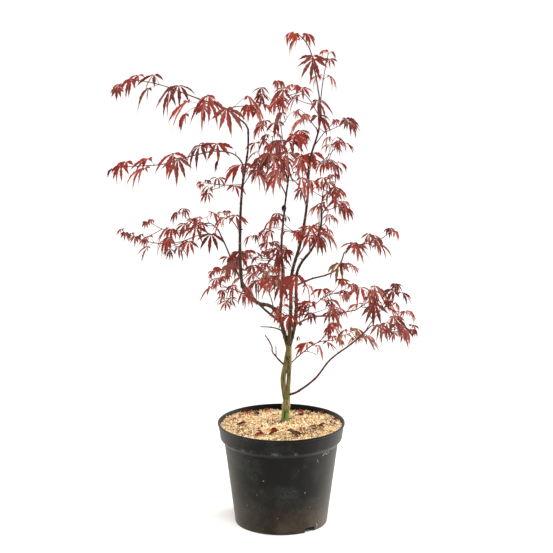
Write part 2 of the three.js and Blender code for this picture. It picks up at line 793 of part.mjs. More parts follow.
// A leaf on its stalk: its middle, its lobes' tips and its outline from lobe to lobe, which ends in a
// shoulder at each side of the stalk
function leafShape(joint, direction, size, roll) {
  const middle = joint.clone().addScaledVector(direction, size * STALK_LENGTH * (0.8 + 0.4 * roll()));
  const heading = THREE.MathUtils.radToDeg(Math.atan2(direction.y, direction.x)) + spread(roll, 50);
  const sag = spread(roll, 30);
  const fan = LOBE_FAN + spread(roll, 8);
  const half = (LOBES.length - 1) / 2;
  const tips = LOBES.map((share, i) => {
    const out = ray(heading + (i - half) * fan, -LOBE_FALLS[i] - sag + spread(roll, 16));
    return middle.clone().addScaledVector(out, size * share);
  });
  const notches = tips.slice(1).map((_, i) => {
    const out = ray(heading + (i - half + 0.5) * fan, -(LOBE_FALLS[i] + LOBE_FALLS[i + 1]) / 2 - sag);
    return middle.clone().addScaledVector(out, size * NOTCH);
  });
  const shoulder = ray(heading + 90, 0).multiplyScalar(STALK_BREADTH / 2);
  const outline = [middle.clone().sub(shoulder)];
  tips.forEach((tip, i) => outline.push(tip, notches[i] ?? middle.clone().add(shoulder)));
  return { joint, middle, direction, tips, outline };
}

function leafRoom({ joint, middle, tips }, owner) {
  return [
    capsule(joint, middle, TWIG_ROOM, 'wood', owner),
    capsule(middle, middle, MIDDLE_ROOM, 'blade', owner),
    ...tips.map((tip) => capsule(middle, tip, LOBE_ROOM, 'blade', owner)),
  ];
}

// The leaf as one closed mesh: its outline meets a point above and a point below its middle, and the
// stalk runs from those two points and the shoulders to a three-cornered root inside the twig
function leafSolid({ joint, middle, direction, outline }) {
  const top = 0;
  const bottom = 1;
  const first = 2;
  const last = first + outline.length - 1;
  const root = last + 1;
  const level = new THREE.Vector3(-direction.y, direction.x, 0).normalize();
  const rise = direction.clone().cross(level);
  const corners = [90, 330, 210].map((turn) => {
    const angle = THREE.MathUtils.degToRad(turn);
    return joint.clone()
      .addScaledVector(level, STALK_GIRTH / 2 * Math.cos(angle))
      .addScaledVector(rise, STALK_GIRTH / 2 * Math.sin(angle));
  });
  const lift = new THREE.Vector3(0, 0, LEAF_THICKNESS / 2);
  const points = [middle.clone().add(lift), middle.clone().sub(lift), ...outline, ...corners];
  const faces = [];
  for (let i = first; i < last; i += 1) {
    faces.push([top, i, i + 1], [bottom, i + 1, i]);
  }
  const [crest, left, right] = [root, root + 1, root + 2];
  faces.push(
    [top, last, crest], [top, crest, first],
    [last, left, crest], [first, crest, right],
    [last, bottom, left], [bottom, first, right],
    [bottom, right, left], [crest, left, right],
  );
  const geometry = new THREE.BufferGeometry().setFromPoints(points);
  geometry.setIndex(faces.flat());
  return solidOf(geometry);
}

// One mass: joints along its stem carry pairs of leaves or side twigs, each pair a quarter turn from the
// last, and each twig ends in a pair of leaves and one at its tip
function growMass(name, number, { leaf: size, joints: [bare, step], twigs: odds }) {
  const { route, length, start } = skeleton[name];
  const leaves = [];
  const twigs = [];

  function inSpace(shape) {
    const points = shape.map((piece) => piece.end);
    return points.every((point) => route.some((place) => place.distanceTo(point) < ROOM));
  }

  function tryLeaf(joint, direction, turn, lean, scale, ...keys) {
    for (let attempt = 0; attempt < TRIES; attempt += 1) {
      const roll = dice(number, ...keys, attempt);
      const out = shootDirection(direction, turn + spread(roll, 30 + 20 * attempt), lean, 0.35);
      const leaf = leafShape(joint, out, size * scale * (0.85 + 0.3 * roll()), roll);
      const shape = leafRoom(leaf, name);
      const crowded = leaves.some((other) => other.middle.distanceTo(leaf.middle) < size * 0.25);
      if (!crowded && inSpace(shape) && isClear(shape)) {
        leaves.push(leaf);
        taken.push(...shape);
        return;
      }
    }
  }

  function leafPair(joint, direction, turn, scale, ...keys) {
    tryLeaf(joint, direction, turn, 0.5, scale, ...keys, 1);
    tryLeaf(joint, direction, turn + 180, 0.5, scale, ...keys, 2);
  }

  function tryTwig(joint, direction, turn, scale, ...keys) {
    const roll = dice(number, ...keys);
    const out = shootDirection(direction, turn + spread(roll, 20), 0.7, 0.12);
    const reach = size * TWIG_LENGTH * (0.7 + 0.6 * roll());
    const end = joint.clone().addScaledVector(out, reach);
    const shape = [capsule(joint.clone().addScaledVector(out, 4), end, TWIG_ROOM, 'wood', name)];
    if (!inSpace(shape) || !isClear(shape)) return false;
    twigs.push([joint, end]);
    taken.push(...shape);
    const root = end.clone().addScaledVector(out, -TIP_ROOT);
    leafPair(root, out, roll() * 90, 0.9 * scale, ...keys, 3);
    tryLeaf(root, out, 90, 1.6, 0.8 * scale, ...keys, 4);
    return true;
  }

  let node = 0;
  for (let place = start + bare; place < length - step * 0.3; place += step) {
    const joint = along(route, place);
    const scale = 1.1 + (YOUNG_SIZE - 1.1) * place / length;
    for (const side of [0, 1]) {
      const turn = node * 90 + side * 180;
      const wantsTwig = dice(number, node, side, 9)() < odds;
      if (!wantsTwig || !tryTwig(joint.place, joint.direction, turn, scale, node, side)) {
        tryLeaf(joint.place, joint.direction, turn, 0.5, scale, node, side, 5);
      }
    }
    node += 1;
  }
  const tip = along(route, length - TIP_ROOT);
  leafPair(tip.place, tip.direction, 0, YOUNG_SIZE, node, 6);
  tryLeaf(tip.place, tip.direction, 90, 1.6, 0.8 * YOUNG_SIZE, node, 7);
  return { leaves, twigs };
}

function makeMass(name, { leaves, twigs }) {
  const { route, length, thick, start } = skeleton[name];
  const own = cutRoute(route, start, length);
  const stem = tube(own, taper(own, thick, start, length), TWIG_SIDES);
  const sideTwigs = twigs.map((ends) => tube(ends, TWIG_GIRTH, TWIG_SIDES));
  return largestPiece(join([stem, ...sideTwigs, ...leaves.map(leafSolid)]));
}

// ---------------------------------------------------------------- assembly

function makePlant() {
  const plant = new THREE.Group();
  plant.add(meshOf('pot', makePot(), PLASTIC));
  plant.add(meshOf('mulch', makeMulch(), CHIPS));
  makeSkeleton();
  takeSkeleton();
  plant.add(meshOf('trunk', makeTrunk(), TRUNK_BARK));
  for (const name of Object.keys(LIMBS)) {
    plant.add(meshOf(name, makeLimb(name), BARK));
  }
  Object.entries(MASSES).forEach(([name, sizes], number) => {
    const node = `leaves_${name}`;
    const growth = growMass(node, number, sizes);
    const [color, roughness, metalness] = [LEAF_TINTS[number % LEAF_TINTS.length], 0.6, 0];
    plant.add(meshOf(node, makeMass(node, growth), [color, roughness, metalness]));
  });
  return plant;
}

export default makePlant();
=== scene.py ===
"""A young japanese maple in a black nursery pot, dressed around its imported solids.

The tables and the growing rule are those of the part's source and are in millimetres, and every mesh
is made in metres. The origin is the middle of the pot's flat underside and the front faces -Y.
"""

import math

import bmesh
import bpy
import numpy as np
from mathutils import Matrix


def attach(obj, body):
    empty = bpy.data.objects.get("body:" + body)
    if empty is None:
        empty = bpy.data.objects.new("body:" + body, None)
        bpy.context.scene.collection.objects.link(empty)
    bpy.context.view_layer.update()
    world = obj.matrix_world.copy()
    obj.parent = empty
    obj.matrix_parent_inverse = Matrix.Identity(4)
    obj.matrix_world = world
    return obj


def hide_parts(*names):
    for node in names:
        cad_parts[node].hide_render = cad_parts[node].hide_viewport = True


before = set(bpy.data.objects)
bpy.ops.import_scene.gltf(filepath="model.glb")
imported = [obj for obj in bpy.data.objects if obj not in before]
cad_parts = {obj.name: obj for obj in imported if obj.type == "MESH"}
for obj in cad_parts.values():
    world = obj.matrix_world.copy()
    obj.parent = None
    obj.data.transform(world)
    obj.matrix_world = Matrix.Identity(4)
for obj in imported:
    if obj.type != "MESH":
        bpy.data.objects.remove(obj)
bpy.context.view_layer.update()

MM = 0.001

# ---------------------------------------------------------------- camera, light and floor

CAMERA_PLACE = (0, -5.0, 1.776)
CAMERA_PITCH = 13.70  # degrees below level
CAMERA_TURN = 0.12
CAMERA_LENS = 154.4

# The softboxes: place, breadth and height, power and colour
SOFTBOXES = {
    "softbox_left": ((-2.5, 1.5, 1.1), (1.8, 2.4), 95, (1.0, 0.93, 0.84)),
    "softbox_right": ((2.9, 0.8, 1.1), (2.2, 2.4), 190, (1.0, 0.99, 0.98)),
}
SOFTBOX_TARGET = (0, 0, 0.4)
SKY = (1.0, 0.99, 0.975)
SKY_STRENGTH = 0.5
KEY_STRENGTH = 2.4  # a broad even light from above and in front
KEY_BREADTH = 45  # degrees
KEY_PLACE = (0.5, -2.3, 3.6)
FLOOR_HALF = 14.0
FLOOR_COLOUR = (0.93, 0.93, 0.93)
FLOOR_CLOUDS = (0.8, 0.8, 0.8)
FLOOR_FADE = 4.6  # metres from the plant at which the sheet reaches its full tone
# Painted shade and light on the floor: distance from the plant and share of its colour, darker where the
# softboxes light it most and full near the pot
FLOOR_PAINTED_SHADING = [
    (4.6, 1.0), (3.6, 0.9), (2.9, 0.78), (2.2, 0.69), (1.7, 0.64), (0.95, 0.66), (0.6, 0.88), (0.0, 1.0),
]


def aim(thing, place, target):
    thing.location = place
    way = np.subtract(target, place)
    across = math.hypot(way[0], way[1])
    thing.rotation_euler = (math.pi / 2 + math.atan2(way[2], across), 0, math.atan2(-way[0], way[1]))


def add_camera():
    data = bpy.data.cameras.new("camera")
    data.sensor_width = 36
    data.lens = CAMERA_LENS
    data.clip_end = 60
    camera = bpy.data.objects.new("camera", data)
    camera.location = CAMERA_PLACE
    camera.rotation_euler = (math.radians(90 - CAMERA_PITCH), 0, math.radians(CAMERA_TURN))
    bpy.context.scene.collection.objects.link(camera)
    bpy.context.scene.camera = camera


def add_light(name, kind, place, target, **settings):
    data = bpy.data.lights.new(name, kind)
    for word, value in settings.items():
        setattr(data, word, value)
    light = bpy.data.objects.new(name, data)
    aim(light, place, target)
    bpy.context.scene.collection.objects.link(light)


def add_lights():
    for name, (place, (breadth, height), power, colour) in SOFTBOXES.items():
        add_light(name, "AREA", place, SOFTBOX_TARGET, shape="RECTANGLE", size=breadth, size_y=height,
                  energy=power, color=colour)
    add_light("key", "SUN", KEY_PLACE, (0, 0, 0), energy=KEY_STRENGTH, angle=math.radians(KEY_BREADTH))
    world = bpy.data.worlds.new("studio")
    world.use_nodes = True
    background = world.node_tree.nodes["Background"]
    background.inputs["Color"].default_value = (*SKY, 1)
    background.inputs["Strength"].default_value = SKY_STRENGTH
    bpy.context.scene.world = world
    bpy.context.scene.view_settings.view_transform = "Standard"


# ---------------------------------------------------------------- materials

SHEEN_TINT = (1.0, 0.96, 0.89)


def rgb(value):
    """The linear colour of a 0xrrggbb code. A colour that is linear already stays as it is."""
    if not isinstance(value, int):
        return value
    shares = [((value >> shift) & 255) / 255 for shift in (16, 8, 0)]
    return [s / 12.92 if s <= 0.04045 else ((s + 0.055) / 1.055) ** 2.4 for s in shares]


class Paint:
    """A node material built up from a few named steps."""

    def __init__(self, name, roughness=0.6, specular=0.5, sheen=0.0):
        self.material = bpy.data.materials.new(name)
        self.material.use_nodes = True
        self.nodes = self.material.node_tree.nodes
        self.links = self.material.node_tree.links
        self.shader = self.nodes["Principled BSDF"].inputs
        self.feed(self.shader["Roughness"], roughness)
        self.feed(self.shader["Specular IOR Level"], specular)
        self.feed(self.shader["Sheen Weight"], sheen)
        self.feed(self.shader["Sheen Tint"], SHEEN_TINT)
        self.place = self.node("TexCoord", {}, "Object")

    def feed(self, socket, value):
        """Gives an input the output of another node, a colour or a plain value."""
        if isinstance(value, bpy.types.NodeSocket):
            self.links.new(value, socket)
        elif socket.type == "RGBA":
            socket.default_value = (*rgb(value), 1)
        else:
            socket.default_value = value

    def node(self, kind, feeds, output=0, **settings):
        """One output of a new node, with its settings and what feeds its inputs."""
        node = self.nodes.new(f"ShaderNode{kind}")
        for word, value in settings.items():
            setattr(node, word, value)
        for socket, value in feeds.items():
            self.feed(node.inputs[socket], value)
        return node.outputs[output]

    def stretched(self, scale):
        return self.node("Mapping", {"Vector": self.place, "Scale": scale})

    def noise(self, scale, detail=3, roughness=0.55, stretch=None, distortion=0.0):
        """A noise in 0 to 1, at so many features to a metre."""
        place = self.stretched(stretch) if stretch else self.place
        feeds = {"Scale": scale, "Detail": detail, "Roughness": roughness, "Distortion": distortion}
        return self.node("TexNoise", {"Vector": place, **feeds}, "Fac")

    def height(self):
        return self.node("SeparateXYZ", {"Vector": self.place}, "Z")

    def sum(self, first, second, share=1.0):
        """first + share * second."""
        return self.node("Math", {0: second, 1: share, 2: first}, operation="MULTIPLY_ADD")

    def times(self, first, second):
        return self.node("Math", {0: first, 1: second}, operation="MULTIPLY")

    def ramp(self, value, stops, blend="EASE"):
        """A colour for a value, from stops of place and colour."""
        node = self.nodes.new("ShaderNodeValToRGB")
        node.color_ramp.interpolation = blend
        elements = node.color_ramp.elements
        while len(elements) < len(stops):
            elements.new(0.5)
        for element, (place, colour) in zip(elements, stops):
            element.position = place
            element.color = (*rgb(colour), 1)
        self.feed(node.inputs["Fac"], value)
        return node.outputs["Color"]

    def share(self, value, low, high, blend="LINEAR"):
        """How far a value is from low to high, in 0 to 1."""
        feeds = {"Value": value, "From Min": low, "From Max": high}
        return self.node("MapRange", feeds, "Result", interpolation_type=blend)

    def between(self, value, low, high):
        return self.share(value, low, high, "SMOOTHSTEP")

    def mix(self, share, first, second):
        return self.node("Mix", {0: share, 6: first, 7: second}, 2, data_type="RGBA")

    def roughen(self, value, low, high):
        roughness = self.node("MapRange", {"Value": value, "To Min": low, "To Max": high}, "Result")
        self.feed(self.shader["Roughness"], roughness)

    def relief(self, height, depth, strength):
        """Bumps of a depth in metres."""
        bumps = self.node("Bump", {"Strength": strength, "Distance": depth, "Height": height}, "Normal")
        self.feed(self.shader["Normal"], bumps)

    def finish(self, tone, *bumps):
        """The material in its tones and with any bumps."""
        self.feed(self.shader["Base Color"], tone)
        if bumps:
            self.relief(*bumps)
        return self.material


# Tints of the leaves: upper side and underside. The underside's stronger red is partly its own colour and
# partly painted light shining through the leaf
LEAF_TINTS = {
    "dusky": (0x753A30, 0x842A1A),
    "mauve": (0x7E4C44, 0x803023),
    "rose": (0x915C51, 0x923624),
    "crimson": (0x802E24, 0x942C19),
    "wine": (0x60251D, 0x6E1E14),
    "scarlet": (0xA43A22, 0xB03E1E),
    "bronze": (0x84603A, 0x94683A),
    "withered": (0x5A2420, 0x481A16),
    "russet": (0x5C3E27, 0x4C2E1F),
}
PAINTED_SHADE_HALF = 0.5  # how much of the under side's tint the painted shade on the darker half of a folded lobe keeps


def leaf_paint(name, code, share=1.0):
    base = np.array(rgb(code)) * share
    paint = Paint(name, roughness=0.5, specular=0.2)
    patches = paint.noise(55, detail=2)
    veins = paint.noise(420, detail=3, stretch=(1, 1, 0.35))
    tone = paint.mix(patches, base * 0.84, base * 1.40)
    paint.roughen(veins, 0.44, 0.62)
    tone = paint.mix(paint.between(veins, 0.35, 0.75), tone, base * 1.15 + 0.012)
    return paint.finish(tone, veins, 0.0003, 0.5)


def leaf_paints(name, tint):
    """The paints of a lobe: its upper side, its under side, and a darker copy of the under side that is
    painted shade on a half turned away.
    """
    upper, under = LEAF_TINTS[tint]
    return [
        leaf_paint(name, upper),
        leaf_paint(f"{name}_under", under),
        leaf_paint(f"{name}_dark", under, PAINTED_SHADE_HALF),
    ]


def stalk_paint(name, code):
    base = np.array(rgb(code))
    paint = Paint(name, roughness=0.5)
    streaks = paint.noise(300, stretch=(1, 1, 0.3))
    return paint.finish(paint.mix(streaks, base * 0.7, base * 1.3), streaks, 0.0002, 0.4)


# Colours of the trunk's bark, and the heights that they run between
BARK_GREEN = 0x6C8A3C
BARK_BUFF = 0x9A8058
BARK_OLIVE = 0x746538
BARK_BROWN = 0x57473A
BARK_PURPLE = 0x44332F
BARK_STREAK = 0x8C8460
BARK_SEAM = 0x3A3024
BARK_RANGE = (0.22, 0.72)
LIMB_RANGE = (0.36, 0.80)


def bark_paint():
    """Green and buff at the foot, olive with pale streaks up to the fork, purple-brown above."""
    paint = Paint("bark", roughness=0.7, specular=0.2)
    patches = paint.noise(38)
    streaks = paint.noise(380, detail=4, stretch=(1, 1, 0.14), distortion=0.5)
    fine = paint.noise(900, stretch=(1, 1, 0.3))
    share = paint.share(paint.sum(paint.height(), patches, 0.035), *BARK_RANGE)
    tone = paint.ramp(share, [
        (0.00, BARK_GREEN), (0.095, BARK_GREEN), (0.12, BARK_BUFF), (0.138, BARK_BUFF),
        (0.165, BARK_OLIVE), (0.40, BARK_OLIVE), (0.58, BARK_BROWN), (0.85, BARK_PURPLE),
    ])
    pale = paint.ramp(share, [(0.0, BARK_STREAK), (0.4, BARK_STREAK), (0.7, 0x54423C)])
    dark = paint.ramp(share, [(0.0, BARK_SEAM), (0.7, 0x231A1B)])
    reddish = paint.between(paint.noise(70, stretch=(1, 1, 0.3)), 0.52, 0.66)
    moss = paint.times(paint.between(patches, 0.50, 0.62), paint.between(share, 0.42, 0.25))
    tone = paint.mix(paint.times(reddish, 0.7), tone, 0x5E3C2A)
    tone = paint.mix(paint.times(moss, 0.6), tone, 0x5C6C30)
    tone = paint.mix(paint.between(streaks, 0.52, 0.70), tone, pale)
    paint.roughen(fine, 0.6, 0.85)
    tone = paint.mix(paint.between(streaks, 0.49, 0.36), tone, dark)
    return paint.finish(tone, paint.sum(streaks, fine, 0.5), 0.0008, 0.8)


def limb_paint():
    """Olive-brown low down, purple-brown above, with paler streaks along the limbs."""
    paint = Paint("limb_bark", roughness=0.68, specular=0.2)
    streaks = paint.noise(420, detail=4, stretch=(1, 1, 0.16), distortion=0.5)
    height = paint.sum(paint.height(), paint.noise(30), 0.06)
    stops = [(0.0, 0x5E4E2C), (0.3, 0x4C3A28), (0.7, 0x402820), (1.0, 0x3A201E)]
    tone = paint.ramp(paint.share(height, *LIMB_RANGE), stops)
    tone = paint.mix(paint.between(streaks, 0.56, 0.78), tone, 0x62503E)
    # The near-black streaks are partly dark bark fissures and partly painted shade that deepens the limbs'
    # darkest tones
    return paint.finish(paint.mix(paint.between(streaks, 0.50, 0.36), tone, 0x140D0B), streaks, 0.0006, 0.8)


def young_bark_paint():
    paint = Paint("young_bark", roughness=0.55, specular=0.2)
    streaks = paint.noise(260, stretch=(1, 1, 0.15))
    tone = paint.mix(paint.noise(30), 0x3C221E, 0x5E342B)
    return paint.finish(paint.mix(paint.between(streaks, 0.55, 0.8), tone, 0x74543F), streaks, 0.0004, 0.6)


def tan_paint():
    paint = Paint("bark_rings", roughness=0.75)
    grain = paint.noise(500)
    return paint.finish(paint.mix(grain, 0x5A4838, 0x8C7658), grain, 0.0004, 0.6)


def plastic_paint():
    """Black polypropylene with dust, scuffs on the band's lower edge and dried soil near the foot."""
    paint = Paint("pot_plastic", roughness=0.4, specular=0.09, sheen=0.128)
    clouds = paint.noise(16, detail=5, roughness=0.62)
    specks = paint.noise(420, detail=4, roughness=0.7)
    scratches = paint.noise(46, detail=6, stretch=(1, 1, 0.5), distortion=0.8)
    height = paint.height()
    dust = paint.times(paint.between(clouds, 0.43, 0.70), paint.between(specks, 0.38, 0.70))
    edge = BAND_FOOT * MM
    above_foot = paint.between(height, edge - 0.0045, edge + 0.0005)
    band_edge = paint.times(above_foot, paint.between(height, edge + 0.0075, edge + 0.0025))
    scuff = paint.times(band_edge, paint.between(scratches, 0.50, 0.70))
    crumbs = paint.between(paint.sum(clouds, specks, 0.6), 0.5, 1.0)
    soil = paint.times(paint.between(height, 0.10, -0.02), crumbs)
    tone = paint.mix(clouds, 0x050403, 0x0E0B08)
    for share, colour in ((dust, 0x383E3A), (scuff, 0x4C5153), (soil, 0x443728)):
        tone = paint.mix(share, tone, colour)
    paint.roughen(paint.sum(clouds, dust, 0.6), 0.4, 0.6)
    tone = paint.mix(paint.between(specks, 0.74, 0.80), tone, 0x8A7658)
    return paint.finish(tone, paint.sum(clouds, specks, 0.4), 0.0006, 0.4)


def worn_paint():
    paint = Paint("pot_worn", roughness=0.5, specular=0.5)
    scuffs = paint.noise(260, detail=4, distortion=0.5)
    return paint.finish(paint.mix(scuffs, 0x2A2A2A, 0x77777A), scuffs, 0.0004, 0.5)


def chip_paint(name, code):
    base = np.array(rgb(code))
    paint = Paint(name, roughness=0.8, specular=0.25)
    grain = paint.noise(700, stretch=(1, 0.4, 1))
    tone = paint.mix(paint.noise(120), base * 0.78, base * 1.12)
    return paint.finish(paint.mix(paint.between(grain, 0.55, 0.8), tone, base * 0.62), grain, 0.0004, 0.6)


def bed_paint():
    paint = Paint("mulch_bed", roughness=0.9, specular=0.2)
    crumbs = paint.noise(330, detail=4, roughness=0.7)
    tone = paint.mix(paint.noise(90), 0xC89A5C, 0xEACB92)
    return paint.finish(paint.mix(paint.between(crumbs, 0.50, 0.34), tone, 0x74502C), crumbs, 0.003, 0.9)


def floor_paint():
    """A pale sheet, a little deeper in tone as painted shade where the softboxes light it most, and at full
    tone near the pot as painted light that washes out its shadow.
    """
    paint = Paint("floor", roughness=0.85, specular=0.2)
    place = paint.stretched((1 / FLOOR_FADE,) * 3)
    nearness = paint.node("TexGradient", {"Vector": place}, "Fac", gradient_type="SPHERICAL")
    tone = paint.ramp(nearness, [
        (1 - reach / FLOOR_FADE, [c * share for c in FLOOR_COLOUR]) for reach, share in FLOOR_PAINTED_SHADING
    ], "LINEAR")
    return paint.finish(paint.mix(paint.times(paint.noise(3), 0.015), tone, FLOOR_CLOUDS))


# ---------------------------------------------------------------- meshes


class Heap:
    """Many small surfaces that become one piece. Points are in millimetres and faces have 3 or 4 corners."""

    def __init__(self):
        self.points = []
        self.faces = []
        self.kinds = []
        self.count = 0

    def add(self, points, *sheets, kind=0):
        """Points with one or more arrays of faces between them, all of one kind of paint."""
        points = np.asarray(points, float).reshape(-1, 3)
        self.points.append(points)
        for faces in sheets:
            self.faces.append(np.asarray(faces, int) + self.count)
            self.kinds.append(np.full(len(faces), kind))
        self.count += len(points)

    def make(self, name, materials, replaced=(), slot=None):
        mesh = bpy.data.meshes.new(name)
        sizes = np.concatenate([np.full(len(f), f.shape[1]) for f in self.faces])
        corners = np.concatenate([f.ravel() for f in self.faces])
        starts = np.concatenate([[0], np.cumsum(sizes)[:-1]])
        mesh.vertices.add(self.count)
        mesh.loops.add(len(corners))
        mesh.polygons.add(len(sizes))
        mesh.vertices.foreach_set("co", (np.vstack(self.points) * MM).ravel())
        mesh.loops.foreach_set("vertex_index", corners)
        for word, values in (
            ("loop_start", starts), ("loop_total", sizes), ("material_index", np.concatenate(self.kinds)),
            ("use_smooth", np.full(len(sizes), True)),
        ):
            mesh.polygons.foreach_set(word, values)
        mesh.update(calc_edges=True)
        mesh.validate()
        for material in materials:
            mesh.materials.append(material)
        piece = bpy.data.objects.new(name, mesh)
        bpy.context.scene.collection.objects.link(piece)
        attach(piece, "root")
        if replaced:
            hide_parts(*replaced)
        return piece


def grid_faces(rows, columns, closed):
    """Quads between neighbouring rows of points, each row closed into a ring or open."""
    across = np.arange(columns if closed else columns - 1)
    down = np.arange(rows - 1)[:, None]
    first = down * columns + across
    second = down * columns + (across + 1) % columns
    return np.stack([first, second, second + columns, first + columns], axis=-1).reshape(-1, 4)


def fan_faces(count):
    """Triangles from a ring of points to the point that follows them."""
    steps = np.arange(count)
    return np.stack([steps, (steps + 1) % count, np.full(count, count)], axis=1)


def circle(count):
    """The angles of so many points spaced evenly round a circle."""
    return np.linspace(0, 2 * math.pi, count, endpoint=False)


def unit(vector):
    return vector / np.linalg.norm(vector)


def arc(first, corner, last, t):
    """The places t on the curve that bends from first to last towards a corner."""
    return (1 - t) ** 2 * first + 2 * t * (1 - t) * corner + t ** 2 * last


def add_tube(heap, points, radii, sides):
    """A closed tube along points. radii is one number a point, or one for each side of each point."""
    points = np.asarray(points, float)
    radii = np.asarray(radii, float).reshape(len(points), -1) * np.ones(sides)
    ways = np.gradient(points, axis=0)
    ways /= np.linalg.norm(ways, axis=1)[:, None]
    side = unit(np.cross([0.3, 1, 0.2], ways[0]))
    rings = []
    angles = circle(sides)
    for point, way, reach in zip(points, ways, radii):
        side = unit(side - way * side.dot(way))
        ring = np.outer(np.cos(angles), side) + np.outer(np.sin(angles), np.cross(way, side))
        rings.append(point + ring * reach[:, None])
    last = (len(points) - 1) * sides
    steps = np.arange(sides)
    following = (steps + 1) % sides
    foot = np.full(sides, len(points) * sides)
    foot_cap = np.stack([foot, following, steps], axis=1)
    tip_cap = np.stack([foot + 1, last + steps, last + following], axis=1)
    body = grid_faces(len(points), sides, closed=True)
    heap.add(np.vstack([*rings, points[[0, -1]]]), body, np.vstack([foot_cap, tip_cap]))


# ---------------------------------------------------------------- trunk and limb sizes, as in the source

# The trunk and its second strand: foot, run of stretches, and girths at shares of the trunk's length
TRUNK_FOOT = np.array([8.0, 15.0, 224.0])
TRUNK_RUN = [[40, 345, 85], [55, 0, 85], [70, 0, 90]]
TRUNK_GIRTHS = [
    [0, 20], [0.06, 16.5], [0.16, 16], [0.23, 18], [0.31, 13.5],
    [0.5, 9.5], [0.65, 9], [0.8, 12.5], [1, 12.5],
]
STRAND_START = 0.24
STRAND_RUN = [[30, 200, 80], [30, 185, 85], [30, 10, 80], [30, 20, 80]]
STRAND_GIRTH = 9.2
SADDLE_REACH = [12, 14]
SADDLE_GIRTHS = [12.5, 14]
COLLAR_SPARE = 0.8
SMALL_OVERHANG = 0.6
CORNER_SHARE = 0.25
CLEARANCE = 0.3

# The limbs: carrier and place along it, girths of foot and tip, length that is hidden in the fork or 0, and
# the run of stretches, each with its length, heading and climb
LIMBS = {
    "main_leader": ("trunk", 1, (9, 3.2), 40, (100, 285, 80), (75, 285, 85), (80, 10, 75), (100, 35, 80),
        (65, 65, 85), (80, 355, 75), (30, 330, 80), (40, 185, 85)),
    "left_bough": ("trunk", 1, (9.5, 7), 40, (45, 185, 75), (35, 200, 75), (35, 220, 50), (35, 210, 15),
        (30, 210, 40), (30, 215, 55)),
    "right_stem": ("trunk", 1, (8.5, 4), 42, (70, 345, 76), (95, 270, 75), (40, 285, 70), (65, 325, 50),
        (55, 320, 70), (40, 270, 80)),
    "left_leader": ("left_bough", 1, (7, 4), 0, (50, 220, 85), (90, 270, 85), (80, 310, 85), (100, 320, 80),
        (30, 300, 90)),
    "left_back_bough": ("left_bough", 0.3, (5.5, 3.2), 0, (70, 145, 30), (70, 145, 45), (85, 145, 60),
        (35, 170, 65)),
    "inner_leader": ("left_bough", 0.36, (7, 3.6), 0, (105, 70, 80), (45, 100, 70), (85, 65, 80),
        (90, 45, 80)),
    "low_right_bough": ("trunk", 0.37, (5.2, 3.2), 0, (25, 345, 20), (60, 325, 40), (65, 320, 50),
        (80, 330, 40), (40, 335, 45)),
    "mid_right_bough": ("right_stem", 0.16, (4.2, 2.6), 0, (55, 45, 10), (60, 30, -5), (25, 30, 10),
        (25, 20, 5)),
    "upper_right_bough": ("right_stem", 0.43, (4.4, 3), 0, (45, 40, 10), (55, 35, 5), (25, 35, 35),
        (30, 40, 65)),
    "left_upper_bough": ("left_leader", 0.74, (3.4, 2.4), 0, (35, 245, 55), (30, 220, 35), (40, 215, 10),
        (60, 210, -5)),
    "top_left_bough": ("left_leader", 1, (4, 2.6), 0, (15, 155, 60), (55, 155, 30), (65, 155, 15),
        (25, 155, 15)),
    "front_bough": ("main_leader", 0.18, (3.4, 2.6), 0, (85, 270, 45), (40, 260, 35)),
    "back_bough": ("inner_leader", 0.21, (3.6, 2.6), 0, (85, 100, 15), (45, 90, 10)),
    "back_right_bough": ("main_leader", 0.37, (3.6, 2.6), 0, (100, 75, 10), (45, 75, 5)),
    "upper_front_bough": ("main_leader", 0.58, (3.2, 2.4), 0, (90, 260, 35), (45, 260, 25)),
    "upper_back_bough": ("inner_leader", 0.83, (3.2, 2.4), 0, (80, 105, 20), (35, 95, 10)),
    "bare_twig_low": ("trunk", 0.73, (3.4, 2), 22, (54, 192, 47), (16, 198, 88), (30, 200, 58)),
    "bare_twig_high": ("left_bough", 0.2, (2.6, 1.6), 0, (20, 165, 25), (35, 165, 0)),
}

# Sawn stubs: limb, place along it, length, girth, heading and climb
STUBS = [
    ("left_bough", 0.26, 7, 5, 285, 20), ("main_leader", 0.86, 14, 2.6, 150, 75),
    ("right_stem", 0.62, 8, 2.6, 200, 35), ("left_leader", 0.36, 7, 2.8, 330, 30),
    ("bare_twig_low", 0.42, 24, 2.2, 100, 84),
]

